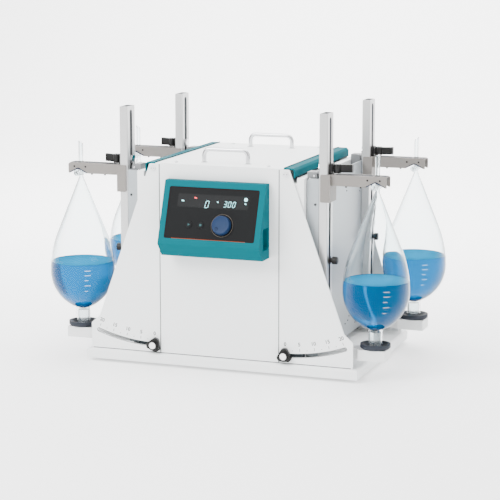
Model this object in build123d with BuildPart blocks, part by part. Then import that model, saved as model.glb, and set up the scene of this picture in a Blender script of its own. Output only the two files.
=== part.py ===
from build123d import *
import os
from math import acos, atan2, cos, hypot, pi, radians, sin, sqrt, tan

# Vertical shaker for four separatory funnels. Millimetres, +Z up, the control
# panel faces -Y. X = 0 is the middle of the machine, Z = 0 is the bench.

# Fits shared by all pieces
turn_gap = 0.3           # radial gap round pins and shafts that turn or slide
slide_gap = 0.3          # gap between flat faces that slide on each other
seam_gap = 0.6           # visible seam between neighbouring sheets
swing_gap = 2.0          # gap beside parts that swing past a fixed sheet

# Base
base_lip_side = 12
base_h = 24
base_wall = 3
base_lip_front = 6.5
base_lip_rear = 11.5
base_edge_r = 7
foot_r = 15
foot_h = 8
foot_inset = 45
foot_screw_r = 3

# Chassis body
body_w = 293.4
body_depth = 428
body_h = 450
sheet = 2
cover_t = 2
cover_edge = 9.9         # how far the cover reaches past the body on each side

# Wing plates at the front and the rear
wing_t = 3
wing_past_slot = 18.85   # plate outside the end of the tilt slot
wing_foot_h = 61         # height of the upright outer edge
wing_step_in = 21        # from the outer edge to where the slanted edge starts
wing_step_h = 79
wing_past_pivot = 8.9    # plate outside the pivot at the top
wing_corner_r = 4
wing_lip = 12            # flange along the foot of each wing plate

# Tilting racks
tilt_max = 20            # degrees
pivot_beside = 15.8      # pivot outside the body
pivot_drop = 10.5        # pivot below the top of the body
tilt_knob_lift = 19.5    # locking knob above the deck with the rack upright
pivot_r = 4
pivot_head_r = 6.5
pivot_head_t = 3
pivot_ear_r = 6.5
slot_w = 8
stud_r = 3.5

# Top rails
rail_w = 27
rail_rise = 3            # rail top above the body top
rail_skirt = 22
rail_t = 3
rail_bevel = 5

# Cover screws
screw_r = 4
screw_h = 3
screw_socket_r = 1.8
screw_edge_x = 33.2
screw_edge_y = 24

# Carry handles
handle_span = 108
handle_h = 36
handle_r = 5
handle_bend_r = 14
handle_foot_r = 8
handle_foot_t = 2
handle_front_in = 50     # from the front of the body
handle_rear_in = 60      # from the rear of the body

# Control housing: wedge with a face that leans outward at the bottom
housing_w = 247
housing_drop = 33        # top edge below the top of the body
housing_top_reach = 20
housing_face_drop = 141  # upright height of the slanted face
housing_reach = 72
housing_under_drop = 31
housing_under_reach = 47
housing_wall = 4
housing_side_wall = 15   # thick side that holds the power switch
cable_window_w = 80
cable_window_h = 50
fascia_w = 219
fascia_h = 121
fascia_t = 2
fascia_ledge = 5
fascia_r = 4
dial_u = 28.8
dial_v = -25.3
dial_r = 22.4
dial_h = 11
dial_lift = 0.6
dial_shaft_r = 3
dial_dimple_r = 3.9
dial_dimple_offset = 12.8
dial_dimple_angle = 227
dial_nut_r = 8
dial_nut_t = 4
key_v = -26.8
key_start_u = -51.9
key_stop_u = -23.2
key_r = 7.75
key_travel = 1
key_proud = key_travel + 0.5
key_flange_r = 9.5
key_flange_t = 1.5
switch_well_y = 25.5     # middle of the well in front of the body
switch_well_drop = 158   # middle of the well below the top of the body
switch_well_w = 36
switch_well_h = 50
switch_well_depth = 12
switch_well_r = 5
rocker_w = 16
rocker_h = 26
rocker_t = 7
rocker_crown = 3
rocker_rest_angle = 6
rocker_gap = 1
rocker_face_r = 42

# Rear panel fittings
inlet_edge = 56.7        # from the side edge of the rear panel
inlet_z = 70             # above the deck
inlet_w = 30
inlet_h = 24
inlet_flange = 3
inlet_flange_t = 2
inlet_wall = 3
inlet_depth = 22
inlet_cavity = 18
pin_w = 4
pin_t = 2
pin_len = 12
pin_pitch = 7
vent_count = 8
vent_w = 90
vent_h = 4
vent_pitch = 10
vent_z = 300
panel_hole_gap = 0.5

# Power supply and drive board inside the body
supply_w = 110
supply_d = 200
supply_h = 60
supply_wall = 1.5
supply_stand = 8
supply_stand_r = 4
supply_stand_inset = 10
board_w = 160
board_h = 120
board_t = 2
board_stand = 10
board_chip = 24
board_chip_t = 8
board_z = 260

# Tilt frame: closed box with a stepped top
frame_beside = 4.3       # between the body and the frame
frame_w = 54
frame_wall = 2.5
frame_foot_gap = 5       # frame above the deck
frame_top_drop = 19      # outer part of the top below the top of the body
frame_step_drop = 31     # part under the rail
frame_step_w = 17

# Funnel stations and the carriage
station_in = 42          # from the front and the rear of the body to a station
carriage_h = 412
carriage_lift = 18       # bottom of the carriage above the deck at mid stroke
carriage_reach = 30      # outer face of the carriage outside the frame
carriage_t = 3
carriage_end = 22        # carriage past the middle of each station
carriage_mark_z = 371
carriage_mark_r = 3

# Guides between frame and carriage
guide_reach = 13         # axis of a guide outside the frame
guide_r = 6
guide_side = 30
guide_block_reach = 23
guide_block_r = 8
guide_top_drop = 6       # top of the guides below the top of the body
guide_block_h = 38
guide_low_z = 8
guide_low_h = 18
bearing_w = 28
bearing_h = 40
bearing_upper_gap = 6    # free way left above the stroke
bearing_lower_gap = 19   # free way left below the stroke
bearing_clear = 3        # between the frame and the back of a bearing

# Drive between frame and carriage
crank_z = 250
crank_throw = 15         # half the stroke
crank_r = 28
crank_t = 5
crank_pin_r = 4
crank_pin_len = 10
crank_shaft_r = 6
crank_shaft_hole = 14
yoke_clear = 2.5         # between the crank and the yoke
yoke_t = 6
yoke_w = 82
yoke_wall = 9
yoke_r = 6
yoke_boss_r = 6
gear_w = 42
gear_d = 80
gear_h = 90
motor_r = 19
motor_len = 110
motor_cap_r = 14
motor_cap_len = 12

# Posts
post_t = 20
post_d = 45
post_wall = 2
post_top_z = 578
post_r = 2
post_slot_w = 15
post_slot_low_z = 425
post_slot2_top_z = 384
post_slot2_low_z = 120

# Lower arms, blocks, cups
rest_z = 18
rest_h = 25
rest_arm_d = 34
rest_block_in = 34       # inner end of the block, from the funnel's axis
rest_block_out = 30      # outer end of the block, from the funnel's axis
rest_block_d = 56
rest_edge_r = 2
cup_r = 35
cup_h = 12
cup_base_r = 31
cup_well_r = 29
cup_well_floor = 4
cup_seat_r = 17

# Funnels, standing on their stoppers
funnel_reach = 131       # funnel's axis outside the carriage
glass = 2.5
bulb_r = 77
bulb_z = 178
bulb_low_curve = 96.9
bulb_top_curve = 250
neck_r = 16.5
neck_z = 58
stopper_head_r = 13.5
stopper_head_z = 47
stopper_plug_r = 12.5
stopper_plug_len = 24
stem_r = 5.4
stem_bore = 2.6
stem_top_z = 491
stem_bevel = 9
stem_join_z = 404
cock_z = 416.5
cock_r = 8.2
cock_len = 38
cock_plug_r = 4.2
cock_cap_r = 8
cock_cap_t = 5.7
cock_nut_r = 6
cock_nut_t = 4

# Clamp arms
arm_above_cock = 23.5    # top of the arm above the stopcock
arm_h = 25
arm_t = 2
arm_d = 33
arm_past_funnel = 25.5
arm_corner_r = 5
arm_hole_r = 8
sleeve_h = 63
sleeve_back = 4          # sleeve's inner edges outside the carriage
sleeve_face_t = 6.7
sleeve_t = 2.5
sleeve_r = 3
ear_w = 22
ear_h = 24
notch_lean = 27          # degrees from level
notch_gap = 0.4
notch_round = 5
arm_lift = 110
clamp_above_arm = 13
clamp_bolt_r = 4
clamp_end_play = 2
clamp_nut_r = 10.5
clamp_nut_t = 5
clamp_washer_r = 8
cam_out = 10             # cam's axis outside the sleeve
cam_r = 8.5
cam_h = 20
lever_len = 33
lever_t = 7
lever_h = 18
lever_lean = 10          # how far the lever's tip stands back
lever_tip = 6

# Post knobs
post_knob_z = 241
post_knob_gap = 7
post_knob_r = 9
post_knob_t = 12
post_knob_stem_r = 5
post_knob_washer_r = 9.5
post_knob_washer_t = 1.5
post_knob_stud_r = 3

# Tilt knobs
tilt_knob_r = 18
tilt_knob_flat = 13.4    # axis to each of the three flat sides
tilt_knob_round = 3
tilt_knob_t = 10
tilt_knob_gap = 1
tilt_boss_r = 10.5
tilt_knob_left_turn = -23  # degrees, as it was last left
tilt_boss_t = 5.5
tilt_cap_r = 8.2
tilt_cap_t = 1.5

# Derived places
deck_z = foot_h + base_h
top_z = deck_z + body_h
cover_z = top_z + cover_t
face_lean = atan2(housing_reach - housing_top_reach, housing_face_drop)
face_mid_reach = (housing_reach + housing_top_reach) / 2
dial_reach = (face_mid_reach - dial_v * sin(face_lean) + (dial_lift + dial_h) * cos(face_lean)
              + dial_r * sin(face_lean))
base_rear_reach = body_depth + base_lip_rear
station_pitch = body_depth - 2 * station_in
bulb_reach = body_depth - station_in + bulb_r
front_y = (dial_reach - bulb_reach) / 2
rear_y = front_y + body_depth
mid_y = front_y + body_depth / 2
stations = {"front": mid_y - station_pitch / 2, "rear": mid_y + station_pitch / 2}
body_half = body_w / 2
inlet_x = body_half - inlet_edge
pivot_x = body_half + pivot_beside
pivot_z = top_z - pivot_drop
knob_z = deck_z + tilt_knob_lift
tilt_radius = pivot_z - knob_z   # pivot to locking knob
wing_foot_w = pivot_x + tilt_radius * sin(radians(tilt_max)) + wing_past_slot
wing_step_w = wing_foot_w - wing_step_in
wing_top_w = pivot_x + wing_past_pivot
base_w = 2 * (wing_foot_w + base_lip_side)
frame_in_x = body_half + frame_beside
frame_out_x = frame_in_x + frame_w
frame_step_x = frame_out_x - frame_step_w
carriage_out_x = frame_out_x + carriage_reach
carriage_in_x = carriage_out_x - carriage_t
guide_x = frame_out_x + guide_reach
guide_block_x = frame_out_x + guide_block_reach
guide_top_z = body_h - guide_top_drop
bearing_back = frame_out_x + bearing_clear
bearing_upper_z = guide_top_z - guide_block_h - crank_throw - bearing_upper_gap - bearing_h
bearing_lower_z = guide_low_z + guide_low_h + crank_throw + bearing_lower_gap
crank_x = frame_out_x + swing_gap
yoke_x = crank_x + crank_t + yoke_clear
post_out_x = carriage_out_x + post_t
funnel_x = carriage_out_x + funnel_reach
rest_block_x = funnel_x - rest_block_in
rest_out_x = funnel_x + rest_block_out
arm_top_z = cock_z + arm_above_cock
arm_out_x = funnel_x + arm_past_funnel
sleeve_low_z = arm_top_z - sleeve_h
sleeve_in_x = carriage_out_x + sleeve_back
sleeve_out_x = post_out_x + slide_gap + sleeve_face_t
ear_top_z = arm_top_z + ear_h
clamp_z = arm_top_z + clamp_above_arm
post_slot_top_z = clamp_z + arm_lift + clamp_bolt_r + clamp_end_play
cam_x = sleeve_out_x + cam_out
lever_out_x = cam_x + lever_len
carriage_low_y = stations["front"] - carriage_end
carriage_high_y = stations["rear"] + carriage_end
rest_top_z = deck_z + rest_z + rest_h
cup_top_z = rest_top_z + cup_h


def upright(y):
    """Plane that faces -Y at depth y; extrusions grow towards the front."""
    return Plane.XZ.offset(-y)


def sideways(x):
    """Plane that faces +X at x."""
    return Plane.YZ.offset(x)


def face_at(u, v, lift=0.0):
    """Plane on the slanted face of the control housing, u to the right and v up the face."""
    out = Vector(0, -cos(face_lean), sin(face_lean))
    up = Vector(0, sin(face_lean), cos(face_lean))
    middle = Vector(0, front_y - face_mid_reach, top_z - housing_drop - housing_face_drop / 2)
    return Plane(origin=middle + Vector(u, 0, 0) + up * v + out * lift, x_dir=(1, 0, 0), z_dir=out)


# Chassis

base_d = base_rear_reach + base_lip_front
base_mid_y = front_y + base_d / 2 - base_lip_front
with BuildPart() as base_hollow:
    with BuildSketch(Plane.XY.offset(foot_h + base_wall)):
        with Locations((0, base_mid_y)):
            Rectangle(base_w - 2 * base_wall, base_d - 2 * base_wall)
    extrude(amount=base_h - 2 * base_wall)
    fillet(base_hollow.edges().group_by(Axis.Z)[-1], base_edge_r - base_wall)

with BuildPart() as base_plate:
    with BuildSketch(Plane.XY.offset(foot_h)):
        with Locations((0, base_mid_y)):
            Rectangle(base_w, base_d)
    extrude(amount=base_h)
    fillet(base_plate.edges().group_by(Axis.Z)[-1], base_edge_r)
    add(base_hollow.part, mode=Mode.SUBTRACT)
    foot_spots = [
        (side * (base_w / 2 - foot_inset), y)
        for side in (-1, 1)
        for y in (front_y - base_lip_front + foot_inset, front_y + base_rear_reach - foot_inset)
    ]
    with Locations([Location((x, y, foot_h)) for x, y in foot_spots]):
        Cylinder(foot_screw_r + turn_gap, base_wall, align=(Align.CENTER, Align.CENTER, Align.MIN),
                 mode=Mode.SUBTRACT)

with BuildPart() as rubber_feet:
    with BuildSketch(Plane.XY):
        with Locations(foot_spots):
            Circle(foot_r)
    extrude(amount=foot_h)
    chamfer(rubber_feet.edges().group_by(Axis.Z)[0], foot_h / 4)
    with BuildSketch(Plane.XY.offset(foot_h)):
        with Locations(foot_spots):
            Circle(foot_screw_r)
    extrude(amount=base_wall)

with BuildPart() as body_shell:
    with BuildSketch(Plane.XY.offset(deck_z)):
        with Locations((0, front_y + (body_depth - sheet) / 2)):
            Rectangle(body_w, body_depth - sheet)
        with Locations((0, front_y + (body_depth + sheet) / 2)):
            Rectangle(body_w - 2 * sheet, body_depth - sheet, mode=Mode.SUBTRACT)
    extrude(amount=body_h)
    with BuildSketch(upright(front_y + sheet)):
        with Locations((0, top_z - housing_drop - housing_face_drop / 2)):
            Rectangle(cable_window_w, cable_window_h)
    extrude(amount=sheet, mode=Mode.SUBTRACT)

with BuildPart() as rear_panel:
    with BuildSketch(upright(rear_y)):
        with Locations((0, deck_z + body_h / 2)):
            Rectangle(body_w, body_h)
        with Locations((inlet_x, deck_z + inlet_z)):
            Rectangle(inlet_w + 2 * panel_hole_gap, inlet_h + 2 * panel_hole_gap, mode=Mode.SUBTRACT)
        with Locations((0, deck_z + vent_z)):
            with GridLocations(vent_w + vent_pitch, vent_pitch, 2, vent_count):
                SlotOverall(vent_w, vent_h, mode=Mode.SUBTRACT)
    extrude(amount=sheet)

wing_outline = [
    (body_half + seam_gap, deck_z),
    (wing_foot_w, deck_z),
    (wing_foot_w, deck_z + wing_foot_h),
    (wing_step_w, deck_z + wing_step_h),
    (wing_top_w, top_z),
    (body_half + seam_gap, top_z),
]
slot_start = -90
with BuildPart() as wing_pair:
    for wing_y, slotted in ((front_y + wing_t, True), (rear_y, False)):
        with BuildSketch(upright(wing_y)) as wing_sketch:
            with BuildLine():
                Polyline(*wing_outline, close=True)
            make_face()
            outer = wing_sketch.vertices().sort_by(Axis.X)[-4:]
            fillet(outer, wing_corner_r)
            with Locations((pivot_x, pivot_z)):
                Circle(pivot_r + turn_gap, mode=Mode.SUBTRACT)
            if slotted:
                with BuildLine(mode=Mode.PRIVATE):
                    slot_path = CenterArc((pivot_x, pivot_z), tilt_radius, slot_start, tilt_max)
                SlotArc(slot_path, slot_w, mode=Mode.SUBTRACT)
        extrude(amount=wing_t)
    for lip_y in (front_y + wing_t + wing_lip, rear_y - wing_t):
        with BuildSketch(upright(lip_y)):
            with Locations((body_half + seam_gap, deck_z)):
                Rectangle(wing_foot_w - wing_corner_r - body_half - seam_gap, wing_t,
                          align=(Align.MIN, Align.MIN))
        extrude(amount=wing_lip)

rail_x = body_half + cover_edge
rail_miter = rail_t * tan(pi / 8)
rail_outline = [
    (body_half, top_z),
    (rail_x, top_z),
    (rail_x, top_z + rail_rise),
    (rail_x + rail_w - rail_bevel, top_z + rail_rise),
    (rail_x + rail_w, top_z + rail_rise - rail_bevel),
    (rail_x + rail_w, top_z + rail_rise - rail_skirt),
    (rail_x + rail_w - rail_t, top_z + rail_rise - rail_skirt),
    (rail_x + rail_w - rail_t, top_z + rail_rise - rail_bevel - rail_miter),
    (rail_x + rail_w - rail_bevel - rail_miter, top_z + rail_rise - rail_t),
    (rail_x + rail_t, top_z + rail_rise - rail_t),
    (rail_x + rail_t, top_z - rail_t),
    (body_half, top_z - rail_t),
]
with BuildPart() as rail_side:
    with BuildSketch(upright(rear_y - wing_t)):
        with BuildLine():
            Polyline(*rail_outline, close=True)
        make_face()
    extrude(amount=body_depth - 2 * wing_t)

with BuildPart() as top_cover:
    with BuildSketch(Plane.XY.offset(top_z)):
        with Locations((0, mid_y)):
            Rectangle(2 * rail_x - seam_gap, body_depth)
            with GridLocations(body_w - 2 * screw_edge_x, body_depth - 2 * screw_edge_y, 2, 2):
                Circle(screw_socket_r + turn_gap, mode=Mode.SUBTRACT)
    extrude(amount=cover_t)
    fillet(top_cover.edges().group_by(Axis.Z)[-1].filter_by(Axis.X), cover_t / 4)

handle_rows = [front_y + handle_front_in, rear_y - handle_rear_in]
with BuildPart() as carry_handles:
    for row in handle_rows:
        with BuildLine(upright(row)) as handle_path:
            FilletPolyline(
                (-handle_span / 2, cover_z),
                (-handle_span / 2, cover_z + handle_h - handle_r),
                (handle_span / 2, cover_z + handle_h - handle_r),
                (handle_span / 2, cover_z),
                radius=handle_bend_r,
            )
        with BuildSketch(Plane(origin=(-handle_span / 2, row, cover_z), z_dir=(0, 0, 1))):
            Circle(handle_r)
        sweep(path=handle_path.wire())
        with BuildSketch(Plane.XY.offset(cover_z)):
            with Locations((-handle_span / 2, row), (handle_span / 2, row)):
                Circle(handle_foot_r)
        extrude(amount=handle_foot_t)

with BuildPart() as cover_screws:
    with BuildSketch(Plane.XY.offset(cover_z)):
        with Locations((0, mid_y)):
            with GridLocations(body_w - 2 * screw_edge_x, body_depth - 2 * screw_edge_y, 2, 2):
                Circle(screw_r)
    extrude(amount=screw_h)
    fillet(cover_screws.edges().group_by(Axis.Z)[-1], screw_h / 3)
    with BuildSketch(Plane.XY.offset(cover_z + screw_h)):
        with Locations((0, mid_y)):
            with GridLocations(body_w - 2 * screw_edge_x, body_depth - 2 * screw_edge_y, 2, 2):
                RegularPolygon(screw_socket_r, 6)
    extrude(amount=-screw_h / 2, mode=Mode.SUBTRACT)
    with BuildSketch(Plane.XY.offset(cover_z)):
        with Locations((0, mid_y)):
            with GridLocations(body_w - 2 * screw_edge_x, body_depth - 2 * screw_edge_y, 2, 2):
                Circle(screw_socket_r)
    extrude(amount=-cover_t)

# One pivot bolt in each wing plate; its shank reaches through the frame's ear.
pivot_reach = wing_t + swing_gap + frame_wall
with BuildPart() as pivot_pair:
    for head_y, way in ((front_y, -1), (rear_y, 1)):
        with BuildSketch(upright(head_y)):
            with Locations((pivot_x, pivot_z)):
                Circle(pivot_head_r)
        extrude(amount=-way * pivot_head_t)
        with BuildSketch(upright(head_y)):
            with Locations((pivot_x, pivot_z)):
                Circle(pivot_r)
        extrude(amount=way * pivot_reach)
    for face_y, way in ((front_y - pivot_head_t, 1), (rear_y + pivot_head_t, -1)):
        with BuildSketch(upright(face_y)):
            with Locations((pivot_x, pivot_z)):
                with PolarLocations(pivot_head_r / 2, 2):
                    Circle(pivot_head_t / 3)
        extrude(amount=-way * pivot_head_t / 2, mode=Mode.SUBTRACT)

housing_profile = [
    (front_y, top_z - housing_drop),
    (front_y - housing_top_reach, top_z - housing_drop),
    (front_y - housing_reach, top_z - housing_drop - housing_face_drop),
    (front_y - housing_under_reach, top_z - housing_drop - housing_face_drop - housing_under_drop),
    (front_y, top_z - housing_drop - housing_face_drop - housing_under_drop),
]
with BuildPart() as control_housing:
    with BuildSketch(sideways(-housing_w / 2)):
        with BuildLine():
            Polyline(*housing_profile, close=True)
        make_face()
    extrude(amount=housing_w)
    fillet(control_housing.edges().filter_by(Axis.X).sort_by(Axis.Y)[:3], housing_wall / 2)
    with BuildSketch(sideways(-housing_w / 2 + housing_wall)):
        with BuildLine():
            Polyline(*housing_profile, close=True)
        make_face()
        offset(amount=-housing_wall, mode=Mode.REPLACE)
        with Locations((front_y - housing_wall, top_z - housing_drop - housing_wall)):
            Rectangle(housing_wall, housing_face_drop + housing_under_drop - 2 * housing_wall,
                      align=(Align.MIN, Align.MAX))
    extrude(amount=housing_w - housing_wall - housing_side_wall, mode=Mode.SUBTRACT)
    with BuildSketch(face_at(0, 0)):
        RectangleRounded(fascia_w + seam_gap, fascia_h + seam_gap, fascia_r)
    extrude(amount=-fascia_t, mode=Mode.SUBTRACT)
    with BuildSketch(face_at(0, 0)):
        RectangleRounded(fascia_w - 2 * fascia_ledge, fascia_h - 2 * fascia_ledge, fascia_r)
    extrude(amount=-2 * housing_wall, mode=Mode.SUBTRACT)
    with BuildSketch(sideways(housing_w / 2)):
        with Locations((front_y - switch_well_y, top_z - switch_well_drop)):
            RectangleRounded(switch_well_w, switch_well_h, switch_well_r)
    extrude(amount=-switch_well_depth, mode=Mode.SUBTRACT)
    with BuildSketch(sideways(housing_w / 2 - switch_well_depth)):
        with Locations((front_y - switch_well_y, top_z - switch_well_drop)):
            Rectangle(rocker_w + 2 * seam_gap, rocker_h + 2 * rocker_gap)
    extrude(amount=-housing_side_wall, mode=Mode.SUBTRACT)

with BuildPart() as control_fascia:
    with BuildSketch(face_at(0, 0, -fascia_t)):
        RectangleRounded(fascia_w, fascia_h, fascia_r)
        with Locations((dial_u, dial_v)):
            Circle(dial_shaft_r + turn_gap, mode=Mode.SUBTRACT)
        with Locations((key_start_u, key_v), (key_stop_u, key_v)):
            Circle(key_r + turn_gap, mode=Mode.SUBTRACT)
    extrude(amount=fascia_t)

dial_dimple = (dial_dimple_offset * cos(radians(dial_dimple_angle)),
               dial_dimple_offset * sin(radians(dial_dimple_angle)))
with BuildPart() as dial:
    with BuildSketch(face_at(dial_u, dial_v, dial_lift)):
        Circle(dial_r)
    extrude(amount=dial_h, taper=2)
    fillet(dial.edges().filter_by(GeomType.CIRCLE).group_by(SortBy.RADIUS)[0], dial_lift * 2)
    with BuildSketch(face_at(dial_u, dial_v, dial_lift + dial_h)):
        with Locations(dial_dimple):
            Circle(dial_dimple_r)
    extrude(amount=-dial_lift * 2, mode=Mode.SUBTRACT)
    with BuildSketch(face_at(dial_u, dial_v, dial_lift)):
        Circle(dial_shaft_r)
    extrude(amount=-dial_lift - fascia_t - seam_gap)
    with BuildSketch(face_at(dial_u, dial_v, -fascia_t - seam_gap)):
        Circle(dial_nut_r)
    extrude(amount=-dial_nut_t)


def soft_key(u):
    """Round key cap that shows through the fascia, with a flange behind it."""
    with BuildPart() as key:
        with BuildSketch(face_at(u, key_v, -fascia_t)):
            Circle(key_r)
        extrude(amount=fascia_t + key_proud)
        fillet(key.edges().group_by(Axis((0, 0, 0), face_at(0, 0).z_dir))[-1], key_proud / 3)
        with BuildSketch(face_at(u, key_v, -fascia_t)):
            Circle(key_flange_r)
        extrude(amount=-key_flange_t)
    return key.part


start_key = soft_key(key_start_u)
stop_key = soft_key(key_stop_u)

rocker_x = housing_w / 2 - switch_well_depth
with BuildPart() as power_switch:
    with BuildSketch(Plane.XZ.offset(-rocker_w / 2)):
        with Locations((rocker_crown - rocker_face_r, 0)):
            Circle(rocker_face_r)
        with Locations((rocker_crown, 0)):
            Rectangle(rocker_t + rocker_crown, rocker_h, align=(Align.MAX, Align.CENTER),
                      mode=Mode.INTERSECT)
    extrude(amount=rocker_w)
switch_middle = (rocker_x, front_y - switch_well_y, top_z - switch_well_drop)
switch_place = Location(switch_middle, (0, rocker_rest_angle, 0))

with BuildPart() as power_inlet:
    with BuildSketch(upright(rear_y)):
        with Locations((inlet_x, deck_z + inlet_z)):
            Rectangle(inlet_w, inlet_h)
    extrude(amount=inlet_depth)
    with BuildSketch(upright(rear_y)):
        with Locations((inlet_x, deck_z + inlet_z)):
            RectangleRounded(inlet_w + 2 * inlet_flange, inlet_h + 2 * inlet_flange, inlet_flange)
    extrude(amount=-inlet_flange_t)
    with BuildSketch(upright(rear_y + inlet_flange_t)):
        with Locations((inlet_x, deck_z + inlet_z)):
            Rectangle(inlet_w - 2 * inlet_wall, inlet_h - 2 * inlet_wall)
    extrude(amount=inlet_cavity, mode=Mode.SUBTRACT)
    with BuildSketch(upright(rear_y + inlet_flange_t - inlet_cavity)):
        with Locations((inlet_x - pin_pitch, deck_z + inlet_z - pin_w / 2),
                       (inlet_x, deck_z + inlet_z + pin_w / 2),
                       (inlet_x + pin_pitch, deck_z + inlet_z - pin_w / 2)):
            Rectangle(pin_t, pin_w)
    extrude(amount=-pin_len)

with BuildPart() as drive_unit:
    with BuildSketch(Plane.XY.offset(deck_z + supply_stand)):
        with Locations((0, mid_y)):
            Rectangle(supply_w, supply_d)
    extrude(amount=supply_h)
    with BuildSketch(Plane.XY.offset(deck_z + supply_stand + supply_wall)):
        with Locations((0, mid_y)):
            Rectangle(supply_w - 2 * supply_wall, supply_d - 2 * supply_wall)
    extrude(amount=supply_h - 2 * supply_wall, mode=Mode.SUBTRACT)
    with BuildSketch(Plane.XY.offset(deck_z)):
        with Locations((0, mid_y)):
            with GridLocations(supply_w - 2 * supply_stand_inset, supply_d - 2 * supply_stand_inset, 2, 2):
                Circle(supply_stand_r)
    extrude(amount=supply_stand)
    with BuildSketch(sideways(-body_half + sheet + board_stand)):
        with Locations((mid_y, deck_z + board_z)):
            Rectangle(board_w, board_h)
    extrude(amount=board_t)
    with BuildSketch(sideways(-body_half + sheet)):
        with Locations((mid_y, deck_z + board_z)):
            with GridLocations(board_w - 2 * supply_stand_inset, board_h - 2 * supply_stand_inset, 2, 2):
                Circle(supply_stand_r)
    extrude(amount=board_stand)
    with BuildSketch(sideways(-body_half + sheet + board_stand + board_t)):
        with Locations((mid_y, deck_z + board_z)):
            with GridLocations(board_w / 2, board_h / 2, 2, 2):
                Rectangle(board_chip, board_chip)
    extrude(amount=board_chip_t)

# Right-hand rack, in its upright position at mid stroke

frame_low_z = deck_z + frame_foot_gap
frame_front_y = front_y + wing_t + swing_gap
frame_rear_y = rear_y - wing_t - swing_gap
frame_profile = [
    (frame_in_x, frame_low_z),
    (frame_out_x, frame_low_z),
    (frame_out_x, top_z - frame_top_drop),
    (frame_step_x, top_z - frame_top_drop),
    (frame_step_x, top_z - frame_step_drop),
    (frame_in_x, top_z - frame_step_drop),
]
with BuildPart() as tilt_frame:
    with BuildSketch(upright(frame_rear_y)):
        with BuildLine():
            Polyline(*frame_profile, close=True)
        make_face()
    extrude(amount=frame_rear_y - frame_front_y)
    with BuildSketch(upright(frame_rear_y - frame_wall)):
        with BuildLine():
            Polyline(*frame_profile, close=True)
        make_face()
        offset(amount=-frame_wall, mode=Mode.REPLACE)
    extrude(amount=frame_rear_y - frame_front_y - 2 * frame_wall, mode=Mode.SUBTRACT)
    for ear_y in (frame_front_y + frame_wall, frame_rear_y):
        with BuildSketch(upright(ear_y)):
            with Locations((pivot_x, pivot_z)):
                Circle(pivot_ear_r)
                Rectangle(2 * pivot_ear_r, frame_step_drop - pivot_drop + frame_wall,
                          align=(Align.CENTER, Align.MAX))
                Circle(pivot_r + turn_gap, mode=Mode.SUBTRACT)
        extrude(amount=frame_wall)
    with BuildSketch(sideways(frame_out_x)):
        with Locations((mid_y, deck_z + crank_z)):
            Circle(crank_shaft_hole)
    extrude(amount=-frame_wall, mode=Mode.SUBTRACT)
    with BuildSketch(upright(frame_front_y + frame_wall)):
        with Locations((pivot_x, knob_z)):
            Circle(stud_r + turn_gap)
    extrude(amount=frame_wall, mode=Mode.SUBTRACT)

with BuildPart() as guide_shafts:
    for y in stations.values():
        with BuildSketch(sideways(frame_out_x)):
            with Locations((y, deck_z + guide_top_z)):
                Rectangle(guide_side, guide_block_h, align=(Align.CENTER, Align.MAX))
            with Locations((y, deck_z + guide_low_z)):
                Rectangle(guide_side, guide_low_h, align=(Align.CENTER, Align.MIN))
        extrude(amount=guide_block_x - frame_out_x)
    fillet(guide_shafts.edges().filter_by(Axis.Y).group_by(Axis.Z)[-1].sort_by(Axis.X)[-2:], guide_block_r)
    for y in stations.values():
        with BuildSketch(Plane.XY.offset(deck_z + guide_low_z + guide_low_h)):
            with Locations((guide_x, y)):
                Circle(guide_r)
        extrude(amount=guide_top_z - guide_block_h - guide_low_z - guide_low_h)

gear_x = frame_out_x - frame_wall - gear_w
with BuildPart() as gearmotor:
    with BuildSketch(sideways(gear_x)):
        with Locations((mid_y, deck_z + crank_z)):
            Rectangle(gear_d, gear_h)
    extrude(amount=gear_w)
    with BuildSketch(Plane.XY.offset(deck_z + crank_z - gear_h / 2)):
        with Locations((gear_x + gear_w / 2, mid_y)):
            Circle(motor_r)
    extrude(amount=-motor_len)
    with BuildSketch(Plane.XY.offset(deck_z + crank_z - gear_h / 2 - motor_len)):
        with Locations((gear_x + gear_w / 2, mid_y)):
            Circle(motor_cap_r)
    extrude(amount=-motor_cap_len)
    with BuildSketch(sideways(gear_x + gear_w)):
        with Locations((mid_y, deck_z + crank_z)):
            Circle(crank_shaft_r + turn_gap)
    extrude(amount=-gear_w / 2, mode=Mode.SUBTRACT)

with BuildPart() as crank_disc:
    with BuildSketch(sideways(crank_x)):
        with Locations((mid_y, deck_z + crank_z)):
            Circle(crank_r)
    extrude(amount=crank_t)
    with BuildSketch(sideways(crank_x)):
        with Locations((mid_y, deck_z + crank_z)):
            Circle(crank_shaft_r)
    extrude(amount=gear_x + gear_w / 2 + turn_gap - crank_x)
    with BuildSketch(sideways(crank_x + crank_t)):
        with Locations((mid_y + crank_throw, deck_z + crank_z)):
            Circle(crank_pin_r)
    extrude(amount=crank_pin_len)

# The crank turns evenly over the stroke, so the yoke's slot is as much taller
# than the pin as that turn differs from a sine.
even_turn = 2 / pi
yoke_play = crank_throw * (sqrt(1 - even_turn**2) - even_turn * acos(even_turn)) + slide_gap
yoke_slot = 2 * (crank_pin_r + yoke_play)
with BuildPart() as drive_yoke:
    with BuildSketch(sideways(yoke_x)):
        with Locations((mid_y, deck_z + crank_z)):
            RectangleRounded(yoke_w, yoke_slot + 2 * yoke_wall, yoke_r)
            SlotCenterToCenter(2 * crank_throw, yoke_slot, mode=Mode.SUBTRACT)
    extrude(amount=yoke_t)
    with BuildSketch(sideways(yoke_x + yoke_t)):
        with Locations((mid_y, deck_z + crank_z)):
            with GridLocations(yoke_w - 2 * yoke_boss_r - yoke_wall / 2, 0, 2, 1):
                Circle(yoke_boss_r)
    extrude(amount=carriage_in_x - yoke_x - yoke_t)

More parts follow.
